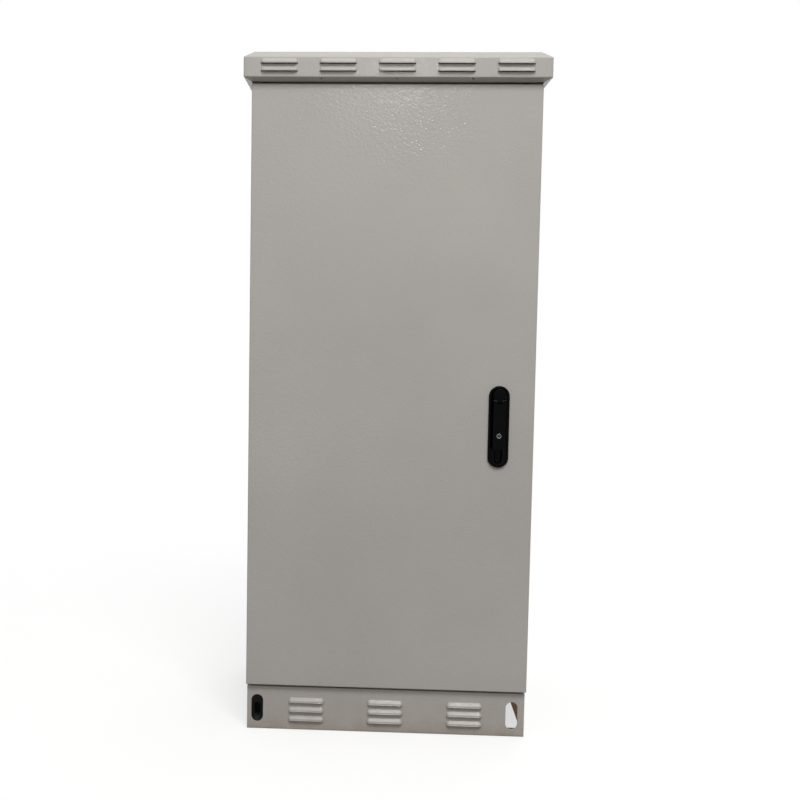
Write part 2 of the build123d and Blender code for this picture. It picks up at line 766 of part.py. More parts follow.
export_step(rain_hood.part, "parts/rain_hood.step")

# Hood spacers: tapped posts under the hood's top, and the bolts that hold it from inside.
with BuildPart() as hood_spacers:
    with BuildSketch(Plane.XY.offset(body_top_z)):
        with Locations(*spacer_spots):
            Circle(spacer_radius)
            Circle(bolt_radius, mode=Mode.SUBTRACT)
    extrude(amount=hood_top_z - sheet - body_top_z)
hood_spacers.part.label = "hood_spacers"
export_step(hood_spacers.part, "parts/hood_spacers.step")

with BuildPart() as hood_bolts:
    with BuildSketch(Plane.XY.offset(body_top_z - sheet)):
        with Locations(*spacer_spots):
            RegularPolygon(hex_radius, 6)
    extrude(amount=-hex_height)
    with BuildSketch(Plane.XY.offset(body_top_z - sheet)):
        with Locations(*spacer_spots):
            Circle(bolt_radius)
    extrude(amount=bolt_length)
hood_bolts.part.label = "hood_bolts"
export_step(hood_bolts.part, "parts/hood_bolts.step")

# Mounting plate: a sheet with folded edges, carried on four collared studs of the rear wall.
plate_front_y = plate_rear_y - sheet
plate_edge_y = plate_rear_y - plate_fold
plate_line = [
    (-plate_half_width, plate_edge_y),
    (-plate_half_width, plate_rear_y),
    (plate_half_width, plate_rear_y),
    (plate_half_width, plate_edge_y),
]
with BuildPart() as mounting_plate:
    plate_height = plate_head_z - plate_foot_z
    extrude(folded_section(Plane.XY.offset(plate_foot_z), plate_line, Side.RIGHT), amount=plate_height)
    with BuildSketch(facing_front(plate_rear_y + cut_overrun)):
        with Locations(*stud_spots):
            Circle(bolt_hole_radius)
    extrude(amount=sheet + 2 * cut_overrun, mode=Mode.SUBTRACT)
mounting_plate.part.label = "mounting_plate"
export_step(mounting_plate.part, "parts/mounting_plate.step")

with BuildPart() as mounting_studs:
    with BuildSketch(facing_front(rear_y - sheet)):
        with Locations(*stud_spots):
            Circle(stud_collar_radius)
    extrude(amount=plate_standoff)
    with BuildSketch(facing_front(plate_rear_y)):
        with Locations(*stud_spots):
            Circle(bolt_radius)
    extrude(amount=sheet + stud_reach)
mounting_studs.part.label = "mounting_studs"
export_step(mounting_studs.part, "parts/mounting_studs.step")

with BuildPart() as mounting_nuts:
    with BuildSketch(facing_front(plate_front_y)):
        with Locations(*stud_spots):
            RegularPolygon(hex_radius, 6)
            Circle(bolt_radius, mode=Mode.SUBTRACT)
    extrude(amount=hex_height)
mounting_nuts.part.label = "mounting_nuts"
export_step(mounting_nuts.part, "parts/mounting_nuts.step")

# Concealed hinges: a gooseneck leaf on the frame reaches into the door's fold to a pin near its corner,
# a bent leaf on the door holds the pin above and below the knuckle.
pin_x = hinge_pin_inset - side_x
pin_y = front_y + hinge_pin_setback
arm_half = gooseneck_thickness / 2
leaf_face_y = frame_front_y - gooseneck_thickness
gooseneck_line = [
    (pin_x, pin_y - arm_half),
    (pin_x + gooseneck_reach, pin_y - arm_half),
    (pin_x + gooseneck_reach, frame_front_y),
    (pin_x + gooseneck_reach - gooseneck_foot, frame_front_y),
]
ear_reach = knuckle_length / 2 + moving_clearance + door_leaf_thickness
leaf_start_x = pin_x - hinge_pin_inset + bend_radius
for level_name, hinge_z in hinge_levels.items():
    with BuildPart() as frame_leaf:
        leaf_plane = Plane.XY.offset(hinge_z - knuckle_length / 2)
        extrude(
            folded_section(leaf_plane, gooseneck_line, Side.LEFT, gooseneck_thickness, gooseneck_thickness),
            amount=knuckle_length,
        )
        with BuildSketch(leaf_plane):
            with Locations((pin_x, pin_y)):
                Circle(knuckle_radius)
        extrude(amount=knuckle_length)
        with BuildSketch(leaf_plane):
            with Locations((pin_x, pin_y)):
                Circle(hinge_pin_radius + running_clearance)
        extrude(amount=knuckle_length, mode=Mode.SUBTRACT)
        with BuildSketch(facing_front(frame_front_y)):
            with Locations(*leaf_screw_spots):
                Circle(hinge_screw_radius + screw_hole_clearance)
        extrude(amount=gooseneck_thickness, mode=Mode.SUBTRACT)
        with BuildSketch(facing_front(leaf_face_y + hinge_screw_head_height)):
            with Locations(*leaf_screw_spots):
                Circle(hinge_screw_head_radius + screw_hole_clearance)
        extrude(amount=hinge_screw_head_height, mode=Mode.SUBTRACT)
    frame_leaf.part.label = f"hinge_frame_leaf_{level_name}"
    export_step(frame_leaf.part, f"parts/hinge_frame_leaf_{level_name}.step")

    ear_line = [
        (pin_y + door_leaf_reach, hinge_z + ear_reach),
        (skin_rear_y, hinge_z + ear_reach),
        (skin_rear_y, hinge_z - ear_reach),
        (pin_y + door_leaf_reach, hinge_z - ear_reach),
    ]
    with BuildPart() as door_leaf:
        extrude(
            folded_section(
                Plane.YZ.offset(leaf_start_x), ear_line, Side.LEFT, door_leaf_thickness, door_leaf_thickness
            ),
            amount=door_leaf_length,
        )
        with BuildSketch(Plane.XY.offset(hinge_z - ear_reach)):
            with Locations((pin_x, pin_y)):
                Circle(hinge_pin_radius)
        extrude(amount=2 * ear_reach, mode=Mode.SUBTRACT)
    door_leaf.part.label = f"hinge_door_leaf_{level_name}"
    export_step(door_leaf.part, f"parts/hinge_door_leaf_{level_name}.step")

with BuildPart() as hinge_pins:
    for hinge_z in hinge_levels.values():
        with BuildSketch(Plane.XY.offset(hinge_z - ear_reach)):
            with Locations((pin_x, pin_y)):
                Circle(hinge_pin_radius)
        extrude(amount=2 * ear_reach)
        with BuildSketch(Plane.XY.offset(hinge_z + ear_reach)):
            with Locations((pin_x, pin_y)):
                Circle(hinge_pin_head_radius)
        extrude(amount=hinge_pin_head_height)
hinge_pins.part.label = "hinge_pins"
export_step(hinge_pins.part, "parts/hinge_pins.step")

with BuildPart() as hinge_screws:
    with BuildSketch(facing_front(leaf_face_y)):
        with Locations(*leaf_screw_spots):
            Circle(hinge_screw_head_radius)
    extrude(amount=-hinge_screw_head_height)
    with BuildSketch(facing_front(leaf_face_y)):
        with Locations(*leaf_screw_spots):
            Circle(hinge_screw_radius)
    extrude(amount=-hinge_screw_length)
hinge_screws.part.label = "hinge_screws"
export_step(hinge_screws.part, "parts/hinge_screws.step")

# Door: a folded pan with rounded edges, turned in behind along the head, foot and lock side.
handle_x = side_x - handle_edge_inset
handle_z = door_foot_z + handle_height
door_middle_z = (door_foot_z + door_head_z) / 2
with BuildPart() as door_panel:
    with BuildSketch(facing_front(door_rear_y)):
        with Locations((0, door_middle_z)):
            Rectangle(door_width, door_height)
    extrude(amount=door_edge_depth)
    fillet(door_panel.faces().sort_by(Axis.Y)[0].edges(), radius=bend_radius)
    with BuildSketch(facing_front(door_rear_y - sheet)):
        with Locations((0, door_middle_z)):
            Rectangle(door_width - 2 * sheet, door_height - 2 * sheet)
    extrude(amount=door_edge_depth - 2 * sheet, mode=Mode.SUBTRACT)
    with BuildSketch(facing_front(door_rear_y)):
        with Locations(((sheet - door_return) / 2, door_middle_z)):
            Rectangle(door_width - sheet - door_return, door_height - 2 * door_return)
    extrude(amount=sheet, mode=Mode.SUBTRACT)
    with BuildSketch(facing_front(skin_rear_y)):
        with Locations((handle_x, handle_z)):
            SlotOverall(boss_length + 2 * boss_clearance, boss_width + 2 * boss_clearance, rotation=90)
    extrude(amount=sheet, mode=Mode.SUBTRACT)
door_panel.part.label = "door_panel"
export_step(door_panel.part, "parts/door_panel.step")

# Door seal: a foam strip on the inner face, facing the frame's lip.
seal_middle_width = 2 * lip_half_width - sheet
seal_middle_height = lip_height - sheet
with BuildPart() as door_seal:
    with BuildSketch(facing_front(seal_rear_y)):
        with Locations((0, lip_middle_z)):
            Rectangle(seal_middle_width + seal_width, seal_middle_height + seal_width)
            Rectangle(seal_middle_width - seal_width, seal_middle_height - seal_width, mode=Mode.SUBTRACT)
    extrude(amount=seal_thickness)
door_seal.part.label = "door_seal"
export_step(door_seal.part, "parts/door_seal.step")

# Door stiffeners: two upright hat sections welded to the inner face.
stiffener_foot_z = door_foot_z + stiffener_end_inset
stiffener_height = door_height - 2 * stiffener_end_inset
stiffener_foot_y = skin_rear_y + sheet
stiffener_crown_y = skin_rear_y + stiffener_depth
crown_half = stiffener_crown / 2
for side_name, side_sign in (("left", -1), ("right", 1)):
    stiffener_x = side_sign * stiffener_side_shift - stiffener_shift
    hat_line = [
        (stiffener_x - crown_half - stiffener_foot, stiffener_foot_y),
        (stiffener_x - crown_half, stiffener_foot_y),
        (stiffener_x - crown_half, stiffener_crown_y),
        (stiffener_x + crown_half, stiffener_crown_y),
        (stiffener_x + crown_half, stiffener_foot_y),
        (stiffener_x + crown_half + stiffener_foot, stiffener_foot_y),
    ]
    with BuildPart() as door_stiffener:
        hat_plane = Plane.XY.offset(stiffener_foot_z)
        extrude(folded_section(hat_plane, hat_line, Side.RIGHT, sheet, sheet), amount=stiffener_height)
    door_stiffener.part.label = f"door_stiffener_{side_name}"
    export_step(door_stiffener.part, f"parts/door_stiffener_{side_name}.step")

# Handle dish: a moulded plate on the door face with a boss through the door, a shallow channel round the
# lever and a finger recess that runs in behind the lever's end.
dish_back_y = front_y - gasket_thickness
dish_face_y = dish_back_y - dish_thickness
boss_rear_y = front_y + boss_depth
hub_radius = lever_width / 2
spindle_z = handle_z + dish_length / 2 - dish_rim - hub_radius
clamp_spots = [(handle_x, handle_z + shift) for shift in (-clamp_shift, clamp_shift)]
with BuildPart() as handle_dish:
    with BuildSketch(facing_front(dish_back_y)):
        with Locations((handle_x, handle_z)):
            SlotOverall(dish_length, dish_width, rotation=90)
    extrude(amount=dish_thickness)
    fillet(handle_dish.faces().sort_by(Axis.Y)[0].edges(), radius=dish_edge_radius)
    with BuildSketch(facing_front(boss_rear_y)):
        with Locations((handle_x, handle_z)):
            SlotOverall(boss_length, boss_width, rotation=90)
    extrude(amount=boss_depth + gasket_thickness)
    with BuildSketch(facing_front(dish_face_y)):
        with Locations((handle_x, handle_z)):
            SlotOverall(dish_length - 2 * channel_rim, dish_width - 2 * channel_rim, rotation=90)
    extrude(amount=-channel_depth, mode=Mode.SUBTRACT)
    with BuildSketch(facing_front(dish_face_y)):
        with Locations((handle_x, handle_z - (finger_recess_head_drop + finger_recess_foot_drop) / 2)):
            recess_height = finger_recess_foot_drop - finger_recess_head_drop
            SlotOverall(recess_height, finger_recess_width, rotation=90)
    extrude(amount=-finger_recess_depth, mode=Mode.SUBTRACT)
    with BuildSketch(facing_front(boss_rear_y + cut_overrun)):
        with Locations((handle_x, spindle_z)):
            Circle(spindle_radius + running_clearance)
    extrude(amount=boss_rear_y - dish_face_y + 2 * cut_overrun, mode=Mode.SUBTRACT)
    with BuildSketch(facing_front(boss_rear_y)):
        with Locations(*clamp_spots):
            Circle(screw_radius)
    extrude(amount=clamp_screw_length, mode=Mode.SUBTRACT)
handle_dish.part.label = "handle_dish"
export_step(handle_dish.part, "parts/handle_dish.step")

with BuildPart() as handle_gasket:
    with BuildSketch(facing_front(front_y)):
        with Locations((handle_x, handle_z)):
            SlotOverall(dish_length - 2 * gasket_inset, dish_width - 2 * gasket_inset, rotation=90)
            SlotOverall(boss_length, boss_width, rotation=90, mode=Mode.SUBTRACT)
    extrude(amount=gasket_thickness)
handle_gasket.part.label = "handle_gasket"
export_step(handle_gasket.part, "parts/handle_gasket.step")

# Handle clamps: bent straps behind the door that pull the boss tight, one screw each.
clamp_top_y = boss_rear_y + sheet
clamp_line = [
    (handle_x - clamp_half_span, skin_rear_y),
    (handle_x - clamp_half_span, clamp_top_y),
    (handle_x + clamp_half_span, clamp_top_y),
    (handle_x + clamp_half_span, skin_rear_y),
]
for clamp_name, (clamp_x, clamp_z) in zip(("lower", "upper"), clamp_spots):
    with BuildPart() as handle_clamp:
        clamp_plane = Plane.XY.offset(clamp_z - clamp_width / 2)
        extrude(folded_section(clamp_plane, clamp_line, Side.RIGHT), amount=clamp_width)
        with BuildSketch(facing_front(clamp_top_y)):
            with Locations((clamp_x, clamp_z)):
                Circle(screw_hole_radius)
        extrude(amount=sheet, mode=Mode.SUBTRACT)
    handle_clamp.part.label = f"handle_clamp_{clamp_name}"
    export_step(handle_clamp.part, f"parts/handle_clamp_{clamp_name}.step")

with BuildPart() as clamp_screws:
    with BuildSketch(facing_front(clamp_top_y)):
        with Locations(*clamp_spots):
            Circle(screw_radius)
    extrude(amount=clamp_screw_length)
    with BuildSketch(facing_front(clamp_top_y)):
        with Locations(*clamp_spots):
            Circle(screw_head_radius)
    extrude(amount=-screw_head_height)
clamp_screws.part.label = "clamp_screws"
export_step(clamp_screws.part, "parts/clamp_screws.step")

# Handle hub: the round head of the handle on its spindle, with a tongue that carries the lever's pin.
lever_back_y = dish_face_y - moving_clearance
lever_front_y = lever_back_y - lever_thickness
lever_round = lever_thickness / 2
pivot_y = lever_back_y - lever_round
pivot_z = spindle_z - lever_pivot_drop
hub_foot_z = pivot_z + lever_round + moving_clearance
cam_front_y = front_y + cam_setback
cam_rear_y = cam_front_y + cam_thickness
with BuildPart() as handle_hub:
    with BuildSketch(facing_front(lever_back_y)):
        with Locations((handle_x, spindle_z)):
            Circle(hub_radius)
        with Locations((handle_x, (spindle_z + hub_foot_z) / 2)):
            Rectangle(lever_width, spindle_z - hub_foot_z)
        with Locations((handle_x, hub_foot_z - hub_radius / 2)):
            Rectangle(lever_width, hub_radius, mode=Mode.SUBTRACT)
    extrude(amount=lever_thickness)
    hub_rim = handle_hub.faces().sort_by(Axis.Y)[0].edges().sort_by(Axis.Z)[1:]
    fillet(hub_rim, radius=lever_edge_radius)
    with BuildSketch(facing_front(lever_back_y)):
        with Locations((handle_x, (hub_foot_z + pivot_z) / 2)):
            Rectangle(hub_tongue_width, hub_foot_z - pivot_z)
    extrude(amount=lever_thickness)
    with BuildSketch(Plane.YZ.offset(handle_x)):
        with Locations((pivot_y, pivot_z)):
            Circle(lever_round)
    extrude(amount=hub_tongue_width / 2, both=True)
    with BuildSketch(Plane.YZ.offset(handle_x)):
        with Locations((pivot_y, pivot_z)):
            Circle(lever_pin_radius)
    extrude(amount=hub_tongue_width, both=True, mode=Mode.SUBTRACT)
    with BuildSketch(facing_front(cam_front_y)):
        with Locations((handle_x, spindle_z)):
            Circle(spindle_radius)
    extrude(amount=cam_front_y - lever_back_y)
    with BuildSketch(facing_front(cam_rear_y)):
        with Locations((handle_x, spindle_z)):
            Rectangle(spindle_square, spindle_square)
    extrude(amount=cam_thickness)
    with BuildSketch(facing_front(cam_rear_y)):
        with Locations((handle_x, spindle_z)):
            Circle(cam_screw_radius)
    extrude(amount=cam_screw_length, mode=Mode.SUBTRACT)
handle_hub.part.label = "handle_hub"
export_step(handle_hub.part, "parts/handle_hub.step")

with BuildPart() as lever_pin:
    with BuildSketch(Plane.YZ.offset(handle_x)):
        with Locations((pivot_y, pivot_z)):
            Circle(lever_pin_radius)
    extrude(amount=lever_width / 2, both=True)
lever_pin.part.label = "lever_pin"
export_step(lever_pin.part, "parts/lever_pin.step")

# Handle lever: a moulded bar that lies over the dish, hollowed behind, ending over the finger recess.
lever_foot_z = handle_z - lever_end_drop
barrel_z = handle_z - barrel_drop
slot_half = hub_tongue_width / 2 + moving_clearance
slot_foot_z = pivot_z - lever_round - moving_clearance
pocket_low_z = barrel_z + barrel_radius + lever_pocket_wall
pocket_high_z = slot_foot_z - lever_pocket_wall
with BuildPart() as handle_lever:
    with BuildSketch(facing_front(lever_back_y)):
        with Locations((handle_x, (lever_foot_z + pivot_z) / 2)):
            Rectangle(lever_width, pivot_z - lever_foot_z)
    extrude(amount=lever_thickness)
    lever_corners = handle_lever.edges().filter_by(Axis.Y).group_by(Axis.Z)[0]
    fillet(lever_corners, radius=lever_corner_radius)
    lever_rim = handle_lever.faces().sort_by(Axis.Y)[0].edges().sort_by(Axis.Z)[:-1]
    fillet(lever_rim, radius=lever_edge_radius)
    with BuildSketch(Plane.YZ.offset(handle_x)):
        with Locations((pivot_y, pivot_z)):
            Circle(lever_round)
    extrude(amount=lever_width / 2, both=True)
    with BuildSketch(facing_front(lever_back_y + cut_overrun)):
        with Locations((handle_x, (slot_foot_z + hub_foot_z) / 2)):
            Rectangle(2 * slot_half, hub_foot_z - slot_foot_z)
    extrude(amount=lever_thickness + 2 * cut_overrun, mode=Mode.SUBTRACT)
    with BuildSketch(Plane.YZ.offset(handle_x)):
        with Locations((pivot_y, pivot_z)):
            Circle(lever_pin_radius + running_clearance)
    extrude(amount=lever_width, both=True, mode=Mode.SUBTRACT)
    with BuildSketch(facing_front(lever_back_y)):
        with Locations((handle_x, (pocket_low_z + pocket_high_z) / 2)):
            SlotOverall(pocket_high_z - pocket_low_z, lever_pocket_width, rotation=90)
    extrude(amount=lever_pocket_depth, mode=Mode.SUBTRACT)
    with BuildSketch(facing_front(lever_back_y + cut_overrun)):
        with Locations((handle_x, barrel_z)):
            Circle(barrel_radius + running_clearance)
    extrude(amount=lever_thickness + 2 * cut_overrun, mode=Mode.SUBTRACT)
handle_lever.part.label = "handle_lever"
export_step(handle_lever.part, "parts/handle_lever.step")

# Lock barrel: a round plug in the lever with a chamfered rim and a keyway.
with BuildPart() as lock_barrel:
    with BuildSketch(facing_front(lever_back_y)):
        with Locations((handle_x, barrel_z)):
            Circle(barrel_radius)
    extrude(amount=lever_thickness + barrel_proud)
    chamfer(lock_barrel.faces().sort_by(Axis.Y)[0].edges(), length=barrel_rim_chamfer)
    with BuildSketch(facing_front(lever_front_y - barrel_proud)):
        with Locations((handle_x, barrel_z)):
            Rectangle(keyway_width, keyway_height)
    extrude(amount=-keyway_depth, mode=Mode.SUBTRACT)
lock_barrel.part.label = "lock_barrel"
export_step(lock_barrel.part, "parts/lock_barrel.step")

# Lock cam: a two-armed plate on the spindle's square, with a pin at each end that drives a rod.
rod_front_y = cam_rear_y + moving_clearance
rod_rear_y = rod_front_y + rod_thickness
pin_end_y = rod_rear_y + cam_pin_end
rest_reach_x = cam_pin_circle * cos(radians(cam_rest_angle))
rest_reach_z = cam_pin_circle * sin(radians(cam_rest_angle))
with BuildPart() as lock_cam:
    with BuildSketch(facing_front(cam_rear_y)):
        with Locations((handle_x, spindle_z)):
            SlotCenterToCenter(2 * cam_pin_circle, cam_arm_width, rotation=cam_rest_angle)
            Circle(cam_hub_radius)
            Rectangle(spindle_square, spindle_square, mode=Mode.SUBTRACT)
    extrude(amount=cam_thickness)
    with BuildSketch(facing_front(pin_end_y)):
        with Locations((handle_x, spindle_z)):
            with PolarLocations(cam_pin_circle, 2, start_angle=cam_rest_angle):
                Circle(cam_pin_radius)
    extrude(amount=pin_end_y - cam_rear_y)
lock_cam.part.label = "lock_cam"
export_step(lock_cam.part, "parts/lock_cam.step")

with BuildPart() as cam_screw:
    with BuildSketch(facing_front(cam_rear_y)):
        with Locations((handle_x, spindle_z)):
            Circle(cam_screw_radius)
    extrude(amount=cam_screw_length)
    with BuildSketch(facing_front(cam_rear_y)):
        with Locations((handle_x, spindle_z)):
            Circle(cam_screw_head_radius)
    extrude(amount=-cam_screw_head_height)
cam_screw.part.label = "cam_screw"
export_step(cam_screw.part, "parts/cam_screw.step")

# Lock rods: flat bars whose slotted yokes ride on the cam's pins, and the bent guides on the door.
yoke_slot_height = 2 * (cam_pin_radius + yoke_slot_clearance)
yoke_slot_travel = cam_pin_circle - rest_reach_x + moving_clearance
yoke_slot_middle = (cam_pin_circle + rest_reach_x) / 2
guide_half_width = rod_width / 2 + moving_clearance + guide_wall
guide_end_y = rod_rear_y + moving_clearance + guide_reach
for rod_name, rod_sign, tip_z in (
    ("upper", 1, lip_head_z - sheet - rod_tip_gap),
    ("lower", -1, lip_foot_z + sheet + rod_tip_gap),
):
    rod_x = handle_x + rod_sign * (yoke_side_gap + rod_width / 2)
    yoke_x = handle_x + rod_sign * (yoke_side_gap + yoke_width / 2)
    yoke_z = spindle_z + rod_sign * rest_reach_z
    with BuildPart() as lock_rod:
        with BuildSketch(facing_front(rod_rear_y)):
            with Locations((yoke_x, yoke_z)):
                Rectangle(yoke_width, yoke_height)
            with Locations((rod_x, (yoke_z + tip_z) / 2)):
                Rectangle(rod_width, abs(tip_z - yoke_z))
            with Locations((handle_x + rod_sign * yoke_slot_middle, yoke_z)):
                SlotCenterToCenter(yoke_slot_travel, yoke_slot_height, mode=Mode.SUBTRACT)
        extrude(amount=rod_thickness)
        tip_edges = lock_rod.edges().filter_by(Axis.Y).group_by(Axis.Z)[-1 if rod_sign > 0 else 0]
        chamfer(tip_edges, length=rod_tip_chamfer)
    lock_rod.part.label = f"{rod_name}_rod"
    export_step(lock_rod.part, f"parts/{rod_name}_rod.step")

    near_z = spindle_z + rod_sign * guide_near_inset
    far_z = tip_z - rod_sign * guide_end_inset
    for guide_name, guide_z in (("near", near_z), ("end", far_z)):
        guide_line = [
            (skin_rear_y, guide_z + guide_foot),
            (skin_rear_y, guide_z),
            (guide_end_y, guide_z),
        ]
        with BuildPart() as rod_guide:
            guide_plane = Plane.YZ.offset(rod_x)
            extrude(
                folded_section(guide_plane, guide_line, Side.LEFT, guide_thickness, guide_thickness),
                amount=guide_half_width,
                both=True,
            )
            with BuildSketch(Plane.XY.offset(guide_z - cut_overrun)):
                with Locations((rod_x, (rod_front_y + rod_rear_y) / 2)):
                    Rectangle(rod_width + 2 * moving_clearance, rod_thickness + 2 * moving_clearance)
            extrude(amount=guide_thickness + 2 * cut_overrun, mode=Mode.SUBTRACT)
        rod_guide.part.label = f"{rod_name}_rod_guide_{guide_name}"
        export_step(rod_guide.part, f"parts/{rod_name}_rod_guide_{guide_name}.step")
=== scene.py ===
from math import radians

import bpy
import numpy as np
from mathutils import Matrix, Vector


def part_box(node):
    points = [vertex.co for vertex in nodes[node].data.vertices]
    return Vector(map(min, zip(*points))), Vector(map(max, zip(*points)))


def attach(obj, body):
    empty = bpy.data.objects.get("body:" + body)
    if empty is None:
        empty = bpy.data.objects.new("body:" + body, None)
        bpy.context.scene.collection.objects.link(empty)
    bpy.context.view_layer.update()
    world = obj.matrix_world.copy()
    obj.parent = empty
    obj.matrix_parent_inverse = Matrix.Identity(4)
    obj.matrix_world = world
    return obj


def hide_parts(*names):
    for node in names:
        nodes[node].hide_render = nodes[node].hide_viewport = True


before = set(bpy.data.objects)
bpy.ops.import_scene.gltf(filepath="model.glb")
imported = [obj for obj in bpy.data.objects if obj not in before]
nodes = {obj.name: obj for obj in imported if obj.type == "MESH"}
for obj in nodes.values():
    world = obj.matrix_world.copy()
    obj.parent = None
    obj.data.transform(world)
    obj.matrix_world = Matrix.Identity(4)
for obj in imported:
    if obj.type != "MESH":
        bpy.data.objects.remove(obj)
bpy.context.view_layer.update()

# Plinth front: one steel sheet, folded back along the top and the ground, with pressed louvres and two
# upright oblong slots punched through it. Powder-coated light warm grey, bolted under the floor tray.
plinth_low, plinth_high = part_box("plinth_front_panel")
insert_low, insert_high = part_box("plinth_slot_insert")
anchor_low, anchor_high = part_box("anchor_plate_front_right")
sheet_thickness = 0.0015
fold_radius = 0.0025
louvre_middle = 0.0315
louvre_reach = 0.0065
louvre_rise = 0.011
louvre_lip = 0.003
louvre_lift = 0.0015
louvre_nose = 0.004
louvre_flare = 0.0006
louvre_flare_share = 1.2
louvre_slope = 45
louvre_root = 0.0015
louvre_clearing = 0.0012
louvre_border = 0.004
louvre_end_steps, nose_steps, root_steps = 10, 6, 5
rim_break = 0.0007
collar_share = 0.4
sharp_angle = 35
weld_distance = 1e-6
tiny = 1e-9
paint_grey = (0.396, 0.377, 0.358)
# Brown for soil dust low on the paint, and for painted light bounced up off brown ground.
soil_and_bounce_brown = (0.24, 0.17, 0.11)


def arc(centre, radius, start, end, steps):
    """Points on a circle in the plane, by cosine and sine of evenly spaced angles in degrees."""
    turn = np.radians(np.linspace(start, end, steps))
    return np.stack([centre[0] + radius * np.cos(turn), centre[1] + radius * np.sin(turn)], 1)


def louvre_rows():
    """Section of a louvre above its cut line, as rows of height and reach, from the slot upwards.

    The first row is the lower edge of the slot, flat in the wall. The lip flares out to full reach at its
    edge, stands upright, turns over the nose on an arc, slopes back and meets the wall on a hollow arc.
    """
    cut = np.tan(np.radians(louvre_slope / 2))
    lip_reach = louvre_reach - louvre_flare
    nose_z = louvre_lift + louvre_lip + louvre_flare - louvre_nose * cut
    lip = [(louvre_reach, louvre_lift), (lip_reach, louvre_lift + louvre_flare_share * louvre_flare)]
    nose = arc((lip_reach - louvre_nose, nose_z), louvre_nose, 0, louvre_slope, nose_steps)
    root_z = louvre_rise + louvre_root * cut
    root = arc((louvre_root, root_z), louvre_root, 180 + louvre_slope, 180, root_steps)
    reach_height = np.concatenate([lip, nose, root])
    return np.concatenate([[(0.0, 0.0)], reach_height[:, ::-1]])


def louvre_lines(centre):
    """Lines across one louvre: a straight middle and a quarter turn about an upright line at each end.

    Each line is (middle x, signed length of middle, signed sine of the turn, cosine of the turn).
    """
    turn = np.radians(np.linspace(0, 90, louvre_end_steps))
    end = np.column_stack(np.broadcast_arrays(centre, louvre_middle, np.sin(turn), np.cos(turn)))
    start = end[::-1] * [1, -1, -1, 1]
    middle = np.array([[centre, share * louvre_middle, 0, 1] for share in (-0.5, 0, 0.5)])
    return np.concatenate([start, middle, end])


def wall_lines(centres, plain):
    """All lines across a louvred wall from left to right: louvre lines, two near each end, and plain ones.

    A plain line on the straight middle of a louvre goes over it; one that falls on an end is dropped.
    """
    half = louvre_middle + louvre_reach
    gaps = (louvre_clearing, louvre_border)
    lines = [louvre_lines(centre) for centre in centres]
    near = [centre + side * (half + gap) for centre in centres for side in (-1, 1) for gap in gaps]
    for x in plain + near:
        offset = min((x - centre for centre in centres), key=abs)
        if abs(offset) < louvre_middle - louvre_clearing / 2:
            lines.append(np.array([[x - offset, offset, 0, 1]]))
        elif abs(offset) > half + louvre_clearing / 2:
            lines.append(np.array([[x, 0, 0, 0]]))
    lines = np.concatenate(lines)
    places = np.round(lines[:, 0] + lines[:, 1] + louvre_reach * lines[:, 2], 5)
    return lines[np.unique(places, return_index=True)[1]]


def end_swing(reach):
    """How far each row swings out at a louvre's ends: a quarter circle, from the root out to full reach."""
    share = reach / louvre_reach
    swing = louvre_reach * np.sqrt(share * (2 - share))
    return np.where(reach > 0, np.maximum(swing, louvre_clearing), louvre_reach)


def louvred_section(levels, low, high):
    """Rows of height and reach up a louvred wall, from low to high, with one louvre above each level."""
    rows = [(z, 0.0) for z in low]
    for level in sorted(levels):
        rows += [(level + height, reach) for height, reach in louvre_rows()]
    return np.array(rows + [(z, 0.0) for z in high])


def open_slots(reaches, cosines):
    """Marks the cells between the lower edge of each louvre's slot and its lip, which stay open."""
    slot_rows = (reaches[:-1] == 0) & (reaches[1:] == louvre_reach)
    louvre_columns = (cosines[1:] > tiny) | (cosines[:-1] > tiny)
    return slot_rows[:, None] & louvre_columns[None, :]


def new_piece(name, points, faces, material, sharp):
    """A mesh object at the origin from points and faces, shaded smooth up to the sharp angle in degrees."""
    mesh = bpy.data.meshes.new(name)
    mesh.from_pydata(points.tolist(), [], faces)
    mesh.shade_smooth()
    mesh.set_sharp_from_angle(angle=radians(sharp))
    mesh.materials.append(material)
    piece = bpy.data.objects.new(name, mesh)
    bpy.context.scene.collection.objects.link(piece)
    return piece


def settle(piece):
    """Puts the result of a piece's modifiers into its mesh and shades it as before."""
    result = piece.evaluated_get(bpy.context.evaluated_depsgraph_get())
    name = piece.data.name
    piece.data = bpy.data.meshes.new_from_object(result)
    piece.modifiers.clear()
    piece.data.name = name
    piece.data.shade_smooth()
    piece.data.set_sharp_from_angle(angle=radians(sharp_angle))


def folded_sheet(name, patches, rings, material):
    """A folded sheet from grids of points, with some cells left out and rings of points round its holes.

    Every kept cell becomes a four-sided face. Each ring is a stack of loops, from the hole's outline out to
    the cells left out for it. The wall is then thickened inwards.
    """
    points, faces, count = [], [], 0
    for grid, keep in patches:
        index = count + np.arange(grid.shape[0] * grid.shape[1]).reshape(grid.shape[:2])
        cells = np.stack([index[:-1, :-1], index[:-1, 1:], index[1:, 1:], index[1:, :-1]], -1)
        faces += cells[keep].tolist()
        points.append(grid.reshape(-1, 3))
        count += index.size
    for loops in rings:
        ring = count + np.arange(loops.shape[0] * loops.shape[1]).reshape(loops.shape[:2])
        after = np.roll(ring, -1, 1)
        faces += np.stack([ring[:-1], ring[1:], after[1:], after[:-1]], -1).reshape(-1, 4).tolist()
        points.append(loops.reshape(-1, 3))
        count += ring.size
    piece = new_piece(name, np.concatenate(points), faces, material, sharp_angle)
    weld = piece.modifiers.new("weld", "WELD")
    weld.merge_threshold = weld_distance
    wall = piece.modifiers.new("wall", "SOLIDIFY")
    wall.thickness = sheet_thickness
    wall.offset = -1
    settle(piece)
    return piece


